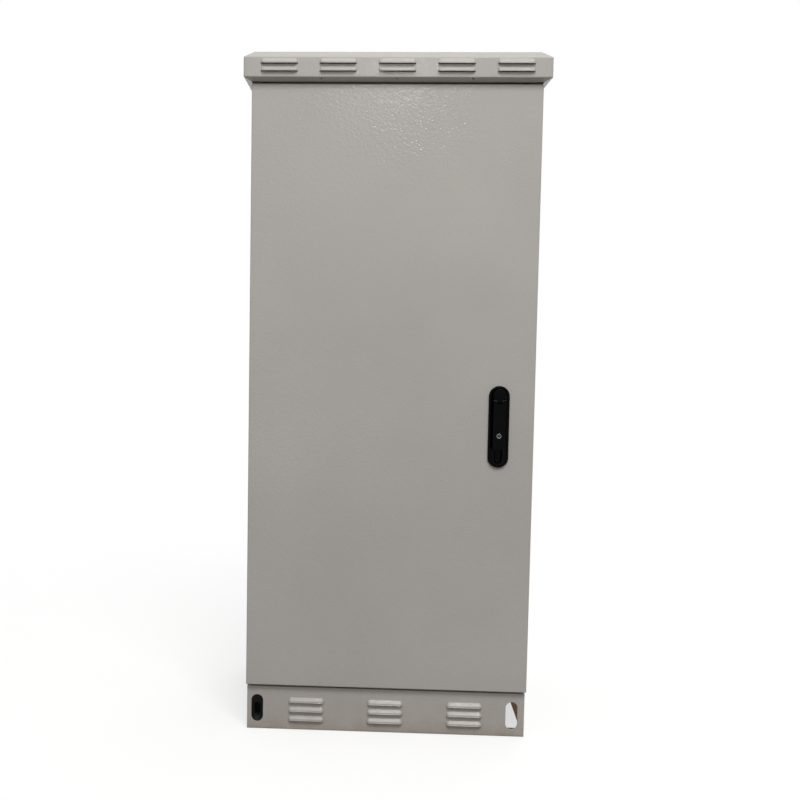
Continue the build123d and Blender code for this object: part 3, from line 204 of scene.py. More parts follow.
def punch(grid, keep, rows, columns, outline, flat, inward):
    """Leaves out a block of cells and returns loops from a hole's outline out to the block's edge.

    The block's edge is read round its four sides; outline gives the hole's edge at each direction from the
    hole's middle. The hole's rim is broken by a small chamfer that leans inward. flat names the two axes of
    the hole's plane; the third coordinate follows the block's slope along the second of them.
    """
    (low, high), (left, right) = rows, columns
    keep[low:high, left:right] = False
    edge = np.concatenate([
        grid[low, left:right],
        grid[low:high, right],
        grid[high, right:left:-1],
        grid[high:low:-1, left],
    ])
    depth_axis = ({0, 1, 2} - set(flat)).pop()
    slope_axis = flat[1]
    run = grid[high, left, slope_axis] - grid[low, left, slope_axis]
    slope = (grid[high, left, depth_axis] - grid[low, left, depth_axis]) / run
    hole = edge.copy()
    hole[:, flat] = outline(edge[:, flat])
    hole[:, depth_axis] = edge[0, depth_axis] + slope * (hole[:, slope_axis] - edge[0, slope_axis])
    rim = hole + (edge - hole) / np.linalg.norm(edge - hole, axis=1, keepdims=True) * rim_break
    return np.stack([hole + np.array(inward) * rim_break, rim, rim + (edge - rim) * collar_share, edge])


def oblong(middle, width, height):
    """Edge of an upright slot with round ends, seen from its middle along the direction of each point."""
    def outline(points):
        away = points - middle
        half, run = width / 2, (height - width) / 2
        away = away / np.abs(away).max(1, keepdims=True)
        side = half / np.maximum(np.abs(away[:, 0]), tiny)
        a = (away ** 2).sum(1)
        b = np.abs(away[:, 1]) * run
        c = run ** 2 - half ** 2
        end = (b + np.sqrt(np.maximum(b * b - a * c, 0))) / a
        share = np.where(side * np.abs(away[:, 1]) <= run, side, end)
        return middle + away * share[:, None]
    return outline


def nearest(values, wanted):
    """Place of the entry nearest to the wanted value."""
    return int(np.argmin(np.abs(values - wanted)))


def block_columns(xs, x, half):
    """First and last line of the block of cells that reaches half to each side of x."""
    return nearest(xs, x - half), nearest(xs, x + half)


def new_finish(name):
    """A material with its node tree, its shader and the object coordinates that its patterns read."""
    material = bpy.data.materials.new(name)
    material.use_nodes = True
    tree = material.node_tree
    place = tree.nodes.new("ShaderNodeTexCoord").outputs["Object"]
    return material, tree, tree.nodes["Principled BSDF"], place


def noise(tree, place, scale, detail, blur=0.5):
    """Smooth random values between 0 and 1, with a grain of about 1 / scale metres."""
    node = tree.nodes.new("ShaderNodeTexNoise")
    node.inputs["Scale"].default_value = scale
    node.inputs["Detail"].default_value = detail
    node.inputs["Roughness"].default_value = blur
    tree.links.new(place, node.inputs["Vector"])
    return node.outputs["Fac"]


def spread(tree, value, low, high, to_low, to_high):
    """A value stretched from one range to another and held inside it."""
    node = tree.nodes.new("ShaderNodeMapRange")
    tree.links.new(value, node.inputs["Value"])
    for socket, number in zip(("From Min", "From Max", "To Min", "To Max"), (low, high, to_low, to_high)):
        node.inputs[socket].default_value = number
    return node.outputs["Result"]


def combine(tree, operation, first, second):
    """Two values joined by arithmetic."""
    node = tree.nodes.new("ShaderNodeMath")
    node.operation = operation
    tree.links.new(first, node.inputs[0])
    tree.links.new(second, node.inputs[1])
    return node.outputs[0]


def blend(tree, share, first, second, kind="MIX"):
    """Mix of two colours by a share; each may be a colour or another node's output."""
    node = tree.nodes.new("ShaderNodeMix")
    node.data_type = "RGBA"
    node.blend_type = kind
    for socket, value in ((0, share), (6, first), (7, second)):
        if isinstance(value, bpy.types.NodeSocket):
            tree.links.new(value, node.inputs[socket])
        else:
            node.inputs[socket].default_value = value
    return node.outputs[2]


def relief(tree, height, depth, under=None):
    """Surface normal of a relief whose values stand for a height of depth metres, laid over another."""
    node = tree.nodes.new("ShaderNodeBump")
    node.inputs["Strength"].default_value = 1.0
    node.inputs["Distance"].default_value = depth
    tree.links.new(height, node.inputs["Height"])
    if under:
        tree.links.new(under, node.inputs["Normal"])
    return node.outputs["Normal"]


def shade(colour, factor):
    """A colour made lighter or darker, with full opacity."""
    return tuple(factor * part for part in colour) + (1,)


def powder_coat(name, colour, rough, dust_and_bounce_height):
    """Powder coat: a faintly clouded colour, orange-peel relief, and near the ground a brown tint that fades
    upwards: soil dust, and a painted reflection of light bounced off brown ground.
    """
    wave_depth, peel_depth = 0.0006, 0.00038
    material, tree, coat, place = new_finish(name)
    cloud = spread(tree, noise(tree, place, 3.1, 4), 0.35, 0.65, 0, 1)
    clouded = blend(tree, cloud, shade(colour, 0.96), shade(colour, 1.04))
    grain = spread(tree, noise(tree, place, 1300, 2), 0.3, 0.7, 0.95, 1.05)
    grained = blend(tree, 1.0, clouded, grain, "MULTIPLY")
    height = tree.nodes.new("ShaderNodeSeparateXYZ")
    tree.links.new(place, height.inputs["Vector"])
    patches = spread(tree, noise(tree, place, 22, 5, 0.6), 0.33, 0.72, 0.25, 1)
    # Brown towards the ground: soil dust, and a painted reflection of light bounced off brown ground.
    low_down = spread(tree, height.outputs["Z"], dust_and_bounce_height, 0.0, 0, 0.22)
    dusted_and_bounced = blend(tree, combine(tree, "MULTIPLY", low_down, patches), grained, shade(soil_and_bounce_brown, 1.0))
    splash_and_bounce = spread(tree, height.outputs["Z"], dust_and_bounce_height / 5, 0.0, 0, 0.40)
    splashed_and_bounced = blend(tree, combine(tree, "MULTIPLY", splash_and_bounce, patches), dusted_and_bounced, shade(soil_and_bounce_brown, 1.1))
    tree.links.new(splashed_and_bounced, coat.inputs["Base Color"])
    gloss = spread(tree, noise(tree, place, 240, 3), 0.3, 0.7, rough - 0.05, rough + 0.06)
    tree.links.new(gloss, coat.inputs["Roughness"])
    wave = relief(tree, noise(tree, place, 5.5, 1), wave_depth)
    peel = relief(tree, noise(tree, place, 210, 1.5), peel_depth, wave)
    tree.links.new(peel, coat.inputs["Normal"])
    tree.links.new(peel, coat.inputs["Coat Normal"])
    coat.inputs["Specular IOR Level"].default_value = 0.35
    coat.inputs["Coat Weight"].default_value = 0.12
    coat.inputs["Coat Roughness"].default_value = 0.08
    return material


grey_paint = powder_coat("grey_powder_coat", paint_grey, rough=0.40, dust_and_bounce_height=0.16)

plinth_face_y = plinth_low.y + louvre_reach
plinth_half = plinth_high.x
left_slot_x = (insert_low.x + insert_high.x) / 2
right_slot_inset = 0.027
right_slot_x = plinth_half - right_slot_inset
slot_z = (insert_low.z + insert_high.z) / 2
slot_width, slot_height = 0.025, 0.059
slot_block = 0.018
slot_steps = np.linspace(-1, 1, 12)
anchor_x = (anchor_low.x + anchor_high.x) / 2
anchor_y = (anchor_low.y + anchor_high.y) / 2
anchor_radius = 0.007
bolt_setback, bolt_radius, bolt_pitch = 0.030, 0.0045, 0.221
bolt_y = plinth_face_y + bolt_setback
bolt_xs = (-bolt_pitch, 0.0, bolt_pitch)
hole_block = 0.010
hole_steps = np.linspace(-1, 1, 5)
plinth_louvre_pitch = 0.170
plinth_louvre_xs = (-plinth_louvre_pitch, 0.0, plinth_louvre_pitch)
plinth_louvre_zs = (0.020, 0.040, 0.060)
web_low_zs, web_high_zs = (0.008, 0.012), (0.0765, 0.080, 0.0885)
end_strip = 0.006
between_louvres = (0.06, 0.115)
fold_steps = 6

plain = [side * x for side in (-1, 1) for x in (plinth_half, plinth_half - end_strip) + between_louvres]
plain += [x + share * slot_block for x in (left_slot_x, right_slot_x) for share in slot_steps]
plain += [x + share * hole_block for x in bolt_xs for share in hole_steps]
lines = wall_lines(plinth_louvre_xs, plain)
web = louvred_section(plinth_louvre_zs, web_low_zs, web_high_zs)
foot_fold = arc((plinth_face_y + fold_radius, fold_radius), fold_radius, 270, 180, fold_steps)
head_fold = foot_fold[::-1] * [1, -1] + [0, plinth_high.z]
foot_flange = [plinth_high.y, *(anchor_y - hole_steps * hole_block)]
head_flange = [*(bolt_y + hole_steps * hole_block), plinth_high.y]
section = [(y, 0.0, 0.0) for y in foot_flange] + [(y, z, 0.0) for y, z in foot_fold]
section += [(plinth_face_y, z, reach) for z, reach in web]
section += [(y, z, 0.0) for y, z in head_fold] + [(y, plinth_high.z, 0.0) for y in head_flange]
section = np.array(section)
reach = section[:, 2:]
grid = np.empty((len(section), len(lines), 3))
grid[..., 0] = lines[:, 0] + lines[:, 1] + end_swing(reach) * lines[:, 2]
grid[..., 1] = section[:, :1] - reach * lines[:, 3]
grid[..., 2] = section[:, 1:2]
keep = ~open_slots(section[:, 2], lines[:, 3])
xs, zs = grid[0, :, 0], section[:, 1]
web_rows = np.flatnonzero(section[:, 0] == plinth_face_y)
slot_rows = tuple(web_rows[0] + nearest(zs[web_rows], z) for z in (web_low_zs[1], web_high_zs[1]))
foot_rows, head_rows = (1, 5), (len(section) - 6, len(section) - 2)
rings = []
for x in (left_slot_x, right_slot_x):
    shape = oblong(np.array([x, slot_z]), slot_width, slot_height)
    rings.append(punch(grid, keep, slot_rows, block_columns(xs, x, slot_block), shape, [0, 2], (0, 1, 0)))
for x in (-anchor_x, anchor_x):
    shape = oblong(np.array([x, anchor_y]), 2 * anchor_radius, 2 * anchor_radius)
    rings.append(punch(grid, keep, foot_rows, block_columns(xs, x, hole_block), shape, [0, 1], (0, 0, 1)))
for x in bolt_xs:
    shape = oblong(np.array([x, bolt_y]), 2 * bolt_radius, 2 * bolt_radius)
    rings.append(punch(grid, keep, head_rows, block_columns(xs, x, hole_block), shape, [0, 1], (0, 0, -1)))
plinth_front = folded_sheet("plinth_front_sheet", [(grid, keep)], rings, grey_paint)
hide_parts("plinth_front_panel")
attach(plinth_front, "cabinet")

# Plinth rear and sides: folded sheets like the front, without louvres. Powder-coated outside; the inner
# faces of the sides are tan with dust thrown up from the ground, made lighter with painted light.
def dress(names, material):
    """Gives CAD pieces their finish."""
    for name in names:
        nodes[name].data.materials.clear()
        nodes[name].data.materials.append(material)


def dusted_and_lit_coat(name, colour, dust_and_light, half_width):
    """Powder coat outside; nearer to the middle than half_width the face is dry dust tan, made lighter as
    painted light.
    """
    dust_and_light_edge, peel_depth = 0.0002, 0.00012
    material, tree, coat, place = new_finish(name)
    across = tree.nodes.new("ShaderNodeSeparateXYZ")
    tree.links.new(place, across.inputs["Vector"])
    distance = tree.nodes.new("ShaderNodeMath")
    distance.operation = "ABSOLUTE"
    tree.links.new(across.outputs["X"], distance.inputs[0])
    inside = spread(tree, distance.outputs[0], half_width, half_width - dust_and_light_edge, 0, 1)
    patches = spread(tree, noise(tree, place, 60, 4, 0.6), 0.3, 0.7, 0.8, 1)
    # The inner faces' tan: dust, with painted light that makes the shaded faces look lit.
    tan_share = combine(tree, "MULTIPLY", inside, patches)
    tree.links.new(blend(tree, tan_share, shade(colour, 1.0), shade(dust_and_light, 1.0)), coat.inputs["Base Color"])
    tree.links.new(spread(tree, inside, 0, 1, 0.42, 0.85), coat.inputs["Roughness"])
    tree.links.new(relief(tree, noise(tree, place, 190, 2.5), peel_depth), coat.inputs["Normal"])
    return material


# Tan dust, lighter than the plinth's shaded inside would show it: painted light.
dust_and_light_tan = (0.78, 0.48, 0.26)
dust_and_light_paint = dusted_and_lit_coat("dust_and_light_powder_coat", paint_grey, dust_and_light_tan, plinth_half - sheet_thickness / 2)
dress(["plinth_rear_panel"], grey_paint)
dress(["plinth_left_panel", "plinth_right_panel"], dust_and_light_paint)

# Anchor plates, floor tray, roof tray, gland plate and mounting plate: cut and folded from hot-dip
# galvanised steel, left bare inside the cabinet. The zinc has set in dull crystals.
def galvanised(name, colour):
    """Bare zinc: crystals a centimetre or two across, each with its own tone and gloss, and a fine relief."""
    frost_depth = 0.00002
    material, tree, coat, place = new_finish(name)
    crystals = tree.nodes.new("ShaderNodeTexVoronoi")
    crystals.inputs["Scale"].default_value = 70
    tree.links.new(place, crystals.inputs["Vector"])
    tone = tree.nodes.new("ShaderNodeSeparateColor")
    tree.links.new(crystals.outputs["Color"], tone.inputs["Color"])
    facets = blend(tree, tone.outputs["Red"], shade(colour, 0.86), shade(colour, 1.08))
    stain = spread(tree, noise(tree, place, 9, 4), 0.35, 0.7, 0.88, 1.04)
    tree.links.new(blend(tree, 1.0, facets, stain, "MULTIPLY"), coat.inputs["Base Color"])
    tree.links.new(spread(tree, tone.outputs["Green"], 0, 1, 0.36, 0.52), coat.inputs["Roughness"])
    tree.links.new(relief(tree, noise(tree, place, 420, 2), frost_depth), coat.inputs["Normal"])
    coat.inputs["Metallic"].default_value = 0.9
    return material


zinc_grey = (0.60, 0.61, 0.62)
bare_zinc = galvanised("bare_galvanised_steel", zinc_grey)
dress([f"anchor_plate_{end}_{side}" for end in ("front", "rear") for side in ("left", "right")], bare_zinc)
dress(["base_tray", "roof_tray", "gland_plate", "mounting_plate"], bare_zinc)

# Bolts, nuts, screws, studs, spacers, hinges and lock rods: steel, machined or bent, bright zinc-plated.
# The plating is thin and even, with a faint cast of blue and yellow and fine tool marks.
def plated(name, colour, rough):
    """Bright zinc plating: an even metal with a slow drift of tint, fine marks and a soft gloss."""
    mark_depth = 0.00001
    material, tree, coat, place = new_finish(name)
    drift = spread(tree, noise(tree, place, 30, 3), 0.3, 0.7, 0, 1)
    cool = (colour[0] * 0.97, colour[1], colour[2] * 1.04, 1)
    warm = (colour[0] * 1.03, colour[1] * 1.01, colour[2] * 0.93, 1)
    tree.links.new(blend(tree, drift, cool, warm), coat.inputs["Base Color"])
    gloss = spread(tree, noise(tree, place, 900, 3), 0.3, 0.7, rough - 0.07, rough + 0.08)
    tree.links.new(gloss, coat.inputs["Roughness"])
    tree.links.new(relief(tree, noise(tree, place, 1500, 2), mark_depth), coat.inputs["Normal"])
    coat.inputs["Metallic"].default_value = 1.0
    return material


plate_grey = (0.55, 0.56, 0.57)
bright_zinc = plated("bright_zinc_plate", plate_grey, rough=0.30)
fixings = ["plinth_bolts", "plinth_nuts", "gland_screws", "earth_stud", "earth_nut", "hood_spacers"]
fixings += ["hood_bolts", "mounting_studs", "mounting_nuts", "hinge_pins", "hinge_screws", "clamp_screws"]
fixings += ["lever_pin", "cam_screw", "lock_cam", "upper_rod", "lower_rod"]
fixings += ["handle_clamp_lower", "handle_clamp_upper"]
fixings += [f"{rod}_rod_guide_{end}" for rod in ("upper", "lower") for end in ("near", "end")]
for level in ("lower", "middle", "upper"):
    fixings += [f"hinge_door_leaf_{level}", f"hinge_frame_leaf_{level}"]
dress(fixings, bright_zinc)

# Slot insert: a black plastic plug pushed into the left slot from behind. Its face is dished down to the
# upright mouth of a blind socket; a rim behind the sheet keeps it from coming through.
insert_play = 0.0002
insert_middle = np.array([left_slot_x, slot_z])
insert_width, insert_height = slot_width - insert_play, slot_height - insert_play
mouth_drop = 0.004
mouth_middle = np.array([left_slot_x, slot_z - mouth_drop])
mouth_width, mouth_height = 0.012, 0.030
rim_reach = 0.0035
socket_wall, socket_round, socket_edge = 0.002, 0.001, 0.0005
insert_dish = 0.006
dish_y = plinth_face_y + insert_dish
socket_back_y = insert_high.y
mouth_edge = ((0.0, 0.0008), (-0.0003, 0.0003), (-0.0010, 0.0))
face_edge = ((0.0022, 0.0012), (0.0013, 0.0003), (0.0007, 0.0), (0.0002, 0.0002), (0.0, 0.0007))
rim_edge = ((0.0, 1), (-rim_reach, 1), (-rim_reach, 2), (0.0, 2))


def stadium(middle, width, height, steps=33):
    """Outline of an upright shape with round ends: half circles joined by straight sides."""
    half = width / 2
    run = np.array([0, (height - width) / 2])
    return np.concatenate([arc(middle + run, half, 0, 180, steps), arc(middle - run, half, 180, 360, steps)])


def level_loop(outline, y):
    """An outline in the upright plane at depth y."""
    return np.insert(outline, 1, y, axis=1)


def moulded(name, loops, material):
    """A closed body from a stack of loops, joined one to the next, with a flat face over both ends.

    All faces are turned round where the volume summed over them comes out negative.
    """
    loops = np.stack(loops)
    index = np.arange(loops.shape[0] * loops.shape[1]).reshape(loops.shape[:2])
    after = np.roll(index, -1, 1)
    cells = np.stack([index[:-1], index[1:], after[1:], after[:-1]], -1).reshape(-1, 4)
    points = loops.reshape(-1, 3)
    a, b, c, d = (points[cells[:, corner]] - points.mean(0) for corner in range(4))
    volume = (np.cross(a, b) * c).sum() + (np.cross(a, c) * d).sum()
    rim_a, rim_b = loops[0] - points.mean(0), loops[-1] - points.mean(0)
    volume += (np.cross(rim_a, np.roll(rim_a, -1, 0)) @ rim_a.mean(0)).sum()
    volume -= (np.cross(rim_b, np.roll(rim_b, -1, 0)) @ rim_b.mean(0)).sum()
    faces = cells.tolist() + [index[0].tolist(), index[-1][::-1].tolist()]
    if volume < 0:
        faces = [face[::-1] for face in faces]
    return new_piece(name, points, faces, material, sharp_angle)


def moulded_plastic(name, colour, rough, grain, gloss):
    """Moulded plastic: one deep colour with a slow drift of gloss and a fine leather-like grain."""
    material, tree, coat, place = new_finish(name)
    tone = spread(tree, noise(tree, place, 60, 3), 0.3, 0.7, 0, 1)
    tree.links.new(blend(tree, tone, shade(colour, 0.85), shade(colour, 1.2)), coat.inputs["Base Color"])
    drift = spread(tree, noise(tree, place, 150, 3), 0.3, 0.7, rough - 0.05, rough + 0.06)
    tree.links.new(drift, coat.inputs["Roughness"])
    tree.links.new(relief(tree, noise(tree, place, 2200, 2), grain), coat.inputs["Normal"])
    coat.inputs["Specular IOR Level"].default_value = gloss
    return material


def insert_loop(inset, y):
    """The plug's outline, drawn in by inset."""
    return level_loop(stadium(insert_middle, insert_width - 2 * inset, insert_height - 2 * inset), y)


def mouth_loop(inset, y):
    """The socket's outline, drawn in by inset."""
    return level_loop(stadium(mouth_middle, mouth_width - 2 * inset, mouth_height - 2 * inset), y)


matt_black = (0.011, 0.0105, 0.010)
insert_black = moulded_plastic("matt_black_plastic", matt_black, rough=0.42, grain=0.00002, gloss=0.06)
insert_loops = [mouth_loop(socket_round, socket_back_y - socket_wall)]
insert_loops += [mouth_loop(0.0, socket_back_y - socket_wall - socket_round)]
insert_loops += [mouth_loop(inset, dish_y + depth) for inset, depth in mouth_edge]
insert_loops += [insert_loop(inset, plinth_face_y + depth) for inset, depth in face_edge]
insert_loops += [insert_loop(inset, plinth_face_y + sheets * sheet_thickness) for inset, sheets in rim_edge]
insert_loops += [insert_loop(0.0, dish_y + socket_wall), mouth_loop(-socket_wall, dish_y + socket_wall)]
insert_loops += [mouth_loop(-socket_wall, socket_back_y - socket_edge)]
insert_loops += [mouth_loop(socket_edge - socket_wall, socket_back_y)]
slot_insert = moulded("slot_insert_plug", insert_loops, insert_black)
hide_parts("plinth_slot_insert")
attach(slot_insert, "cabinet")

# Cable grommets: soft black rubber cones, moulded with a groove that snaps into the gland plate. The tip is
# closed until it is cut for a cable; shallow rings mark where to cut.
def rubber(name, colour):
    """Matt rubber: nearly black, chalky in patches, with a fine grain."""
    grain_depth = 0.00003
    material, tree, coat, place = new_finish(name)
    chalk = spread(tree, noise(tree, place, 45, 4, 0.6), 0.4, 0.75, 0, 1)
    tree.links.new(blend(tree, chalk, shade(colour, 1.0), shade(colour, 1.8)), coat.inputs["Base Color"])
    tree.links.new(spread(tree, noise(tree, place, 300, 2), 0.3, 0.7, 0.66, 0.82), coat.inputs["Roughness"])
    tree.links.new(relief(tree, noise(tree, place, 900, 3), grain_depth), coat.inputs["Normal"])
    return material


def circle(middle, radius, steps, start=0):
    """Points once round a circle, evenly spaced from a start angle in degrees."""
    return arc(middle, radius, start, start + 360 - 360 / steps, steps)


rubber_black = (0.022, 0.022, 0.021)
black_rubber = rubber("black_rubber", rubber_black)
plate_low, plate_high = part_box("gland_plate")
grommet_flange, grommet_groove = 0.0025, 0.004
grommet_wall, grommet_round = 0.003, 0.0006
grommet_tip, grommet_tip_round = 0.010, 0.001
grommet_centre, grommet_steps = 0.0005, 48
ring_step, ring_rows, ring_end_share = 0.0006, 13, 0.95
for side in ("left", "middle", "right"):
    low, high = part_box(f"cable_grommet_{side}")
    middle = np.array([(low.x + high.x) / 2, (low.y + high.y) / 2])
    rim = (high.x - low.x) / 2
    bore = rim - grommet_groove
    wall = bore - grommet_wall
    roof_z = high.z - grommet_wall
    cone_foot = plate_high.z + grommet_flange
    climb = np.linspace(0, 1, ring_rows)
    steps = np.where(np.arange(ring_rows) % 2, ring_step, 0) * (climb < ring_end_share)
    cone_radius = bore + (grommet_tip - bore) * climb - steps
    cone = np.column_stack([cone_radius, cone_foot + (high.z - cone_foot) * climb])
    profile = [(grommet_centre, roof_z), (grommet_tip - grommet_wall, roof_z)]
    profile += [(wall, plate_high.z), (wall, low.z)]
    profile += [(rim - grommet_round, low.z), (rim, low.z + grommet_round)]
    profile += [(rim, plate_low.z), (bore, plate_low.z), (bore, plate_high.z), (rim, plate_high.z)]
    profile += [(rim, cone_foot - grommet_round), (rim - grommet_round, cone_foot)]
    profile += cone.tolist() + [(grommet_tip - grommet_tip_round, high.z), (grommet_centre, high.z)]
    rounds = [np.insert(circle(middle, radius, grommet_steps), 2, z, axis=1) for radius, z in profile]
    grommet = moulded(f"cable_grommet_cone_{side}", rounds, black_rubber)
    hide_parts(f"cable_grommet_{side}")
    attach(grommet, "cabinet")

# Walls and front frame: steel side walls with a flange turned in behind that carries the flat rear wall, and
# a flat ring whose lip is turned forward to the door seal. Powder-coated like the door.
dress(["left_wall", "right_wall", "rear_wall", "front_frame"], grey_paint)

# Rain hood: one steel sheet, folded and welded at the corners. A bevel runs round the top, the skirt has
# pressed louvres front and rear, and a sloped return with three drain holes leads in under the skirt.
hood_low, hood_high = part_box("rain_hood")
hood_half_y = hood_high.y - louvre_reach
corner_radius = 0.003
return_drop, skirt_height = 0.007, 0.0405
skirt_z = hood_low.z + return_drop
shoulder_z = skirt_z + skirt_height
mouth_inset = 0.0155
bevel_run = 0.020
shoulder_radius, bevel_radius = 0.003, 0.004
hood_louvre_pitch, lower_louvre_rise, upper_louvre_drop = 0.121, 0.0107, 0.0142
hood_louvre_xs = tuple(hood_louvre_pitch * step for step in (-2, -1, 0, 1, 2))
hood_louvre_zs = (skirt_z + lower_louvre_rise, shoulder_z - upper_louvre_drop)
drain_pitch, drain_inset, drain_radius, drain_block = 0.155, 0.006, 0.0020, 0.0035
drain_xs = (-drain_pitch, 0.0, drain_pitch)
drain_row = 4
flange_reach = 0.043
return_line, skirt_line = 0.0125, 0.005
bevel_lines, top_lines = (0.006, 0.014), (0.024, 0.060, 0.060)
skirt_line_xs, side_line_reach, side_line_count = (0.06, 0.18, 0.300), 0.24, 9
hood_steps = 7


def rounded_corner(before, corner, after, radius):
    """Points on the arc that rounds a corner of a line, tangent to both of its legs."""
    before, corner, after = (np.asarray(point, float) for point in (before, corner, after))
    back = (before - corner) / np.linalg.norm(before - corner)
    ahead = (after - corner) / np.linalg.norm(after - corner)
    half = np.arccos(np.clip(back @ ahead, -1, 1)) / 2
    middle = corner + (back + ahead) / np.linalg.norm(back + ahead) * radius / np.sin(half)
    first = corner + back * radius / np.tan(half) - middle
    last = corner + ahead * radius / np.tan(half) - middle
    turn = np.linspace(0, 1, hood_steps)[:, None]
    span = np.pi - 2 * half
    return middle + (np.sin((1 - turn) * span) * first + np.sin(turn * span) * last) / np.sin(span)


def side_columns(kx, ky, nx, ny, sines, cosines):
    """Columns of one stretch of outline: place as shares of the half sizes, normal, louvre turn."""
    return np.column_stack(np.broadcast_arrays(kx, ky, nx, ny, sines, cosines)).astype(float)


plain = [side * x for side in (-1, 1) for x in skirt_line_xs]
plain += [x + share * drain_block for x in drain_xs for share in hole_steps]
front_lines = wall_lines(hood_louvre_xs, plain)
flat_x, flat_y = hood_high.x - corner_radius, hood_half_y - corner_radius
front_x = (front_lines[:, 0] + front_lines[:, 1]) / flat_x
side_y = np.linspace(-side_line_reach, side_line_reach, side_line_count) / flat_y
corner_turns = np.radians(np.linspace(0, 90, hood_steps))
turn_sines, turn_cosines = np.sin(corner_turns), np.cos(corner_turns)
louvre_turns = (front_lines[:, 2], front_lines[:, 3])
columns = np.concatenate([
    side_columns(front_x, -1, 0, -1, *louvre_turns),
    side_columns(1, -1, turn_sines, -turn_cosines, 0, 0),
    side_columns(1, side_y, 1, 0, 0, 0),
    side_columns(1, 1, turn_cosines, turn_sines, 0, 0),
    side_columns(front_x, 1, 0, 1, *louvre_turns)[::-1],
    side_columns(-1, 1, -turn_sines, turn_cosines, 0, 0),
    side_columns(-1, -side_y, -1, 0, 0, 0),
    side_columns(-1, -1, -turn_cosines, -turn_sines, 0, 0),
])
columns = np.concatenate([columns, columns[:1]])

mouth, skirt_foot, shoulder = (mouth_inset, hood_low.z), (0, skirt_z), (0, shoulder_z)
bevel_top, top_inside = (bevel_run, hood_high.z), (2 * bevel_run, hood_high.z)
return_slope = return_drop / mouth_inset
bevel_slope = (hood_high.z - shoulder_z) / bevel_run
return_insets = [mouth_inset, return_line, *(drain_inset - hole_steps * drain_block)]
profile = [(inset, skirt_z - inset * return_slope, 0.0) for inset in return_insets]
profile += [(s, z, 0.0) for s, z in rounded_corner(mouth, skirt_foot, shoulder, fold_radius)]
profile += [(0.0, z, reach) for z, reach in louvred_section(hood_louvre_zs, (skirt_z + skirt_line,), ())]
profile += [(s, z, 0.0) for s, z in rounded_corner(skirt_foot, shoulder, bevel_top, shoulder_radius)]
profile += [(inset, shoulder_z + inset * bevel_slope, 0.0) for inset in bevel_lines]
profile += [(s, z, 0.0) for s, z in rounded_corner(shoulder, bevel_top, top_inside, bevel_radius)]
profile += [(inset, hood_high.z, 0.0) for inset in top_lines]
profile = np.array(profile)
inset, reach = profile[:, :1], profile[:, 2:]
kx, ky, nx, ny, sines, cosines = columns.T
grid = np.empty((len(profile), len(columns), 3))
grid[..., 0] = kx * (flat_x - inset) + nx * corner_radius + end_swing(reach) * sines
grid[..., 1] = ky * (flat_y - inset) + ny * (corner_radius + reach * cosines)
grid[..., 2] = profile[:, 1:2]
grid[-1, :, :2] = 0
keep = ~open_slots(profile[:, 2], cosines)
rings = []
drain_rows = (drain_row - 2, drain_row + 2)
front_xs = grid[drain_row, :len(front_lines), 0]
for x in drain_xs:
    shape = oblong(np.array([x, drain_inset - hood_half_y]), 2 * drain_radius, 2 * drain_radius)
    drain_columns = block_columns(front_xs, x, drain_block)
    rings.append(punch(grid, keep, drain_rows, drain_columns, shape, [0, 1], (0, 0, 1)))
front_lip = grid[0, :len(front_lines)]
flange = np.stack([front_lip * [1, 0, 1] + [0, flange_reach - hood_half_y, 0], front_lip])
flange_keep = np.ones((1, len(front_lines) - 1), bool)
rain_hood = folded_sheet("rain_hood_sheet", [(grid, keep), (flange, flange_keep)], rings, grey_paint)
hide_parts("rain_hood")
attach(rain_hood, "cabinet")

# Door: a folded steel pan. Its edges turn back on a small radius, then in behind along the head, foot and
# lock side; the face is plain, with one long hole for the handle. Powder-coated like the body.
door_low, door_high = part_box("door_panel")
dish_low, dish_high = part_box("handle_dish")
door_return, hinge_return = 0.014, 0.0018
door_corner, return_corner = 0.0025, 0.001
door_rear_edge = ((0.0006, 0.0), (0.0002, 0.0002), (0.0, 0.0006))
door_face_lines = (0.0032, 0.009)
handle_hole_lines = (0.012, 0.004, 0.0)
boss_width, boss_length = 0.0266, 0.1566
handle_middle = np.array([(dish_low.x + dish_high.x) / 2, (dish_low.z + dish_high.z) / 2])
corner_steps, door_fold_steps = 10, 8


def rounded_rectangle(low, high, radius):
    """Outline of a rectangle with round corners, a quarter circle at each, from the upper right one round."""
    (left, foot), (right, head) = low + radius, high - radius
    centres = ((right, head), (left, head), (left, foot), (right, foot))
    return np.concatenate([
        arc(centre, radius, 90 * turn, 90 * turn + 90, corner_steps) for turn, centre in enumerate(centres)
    ])


def door_loop(inset, y):
    """The door's outline drawn in by inset, at depth y."""
    low = np.array([door_low.x + inset, door_low.z + inset])
    high = np.array([door_high.x - inset, door_high.z - inset])
    return level_loop(rounded_rectangle(low, high, door_corner), y)


return_low = np.array([door_low.x + hinge_return, door_low.z + door_return])
return_high = np.array([door_high.x - door_return, door_high.z - door_return])
fold = arc((fold_radius, door_low.y + fold_radius), fold_radius, 180, 270, door_fold_steps)
door_loops = [level_loop(rounded_rectangle(return_low, return_high, return_corner), door_high.y)]
door_loops += [door_loop(inset, door_high.y - depth) for inset, depth in door_rear_edge]
door_loops += [door_loop(inset, y) for inset, y in fold]
door_loops += [door_loop(inset, door_low.y) for inset in door_face_lines]
for clear in handle_hole_lines:
    outline = stadium(handle_middle, boss_width + 2 * clear, boss_length + 2 * clear, 2 * corner_steps)
    door_loops.append(level_loop(outline, door_low.y))
door_skin = folded_sheet("door_skin", [], [np.stack(door_loops[::-1])], grey_paint)
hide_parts("door_panel")
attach(door_skin, "door")

# Door stiffeners: two upright hat sections, folded from steel sheet and spot-welded inside the door's face.
# They are powder-coated together with the door.
dress(["door_stiffener_left", "door_stiffener_right"], grey_paint)

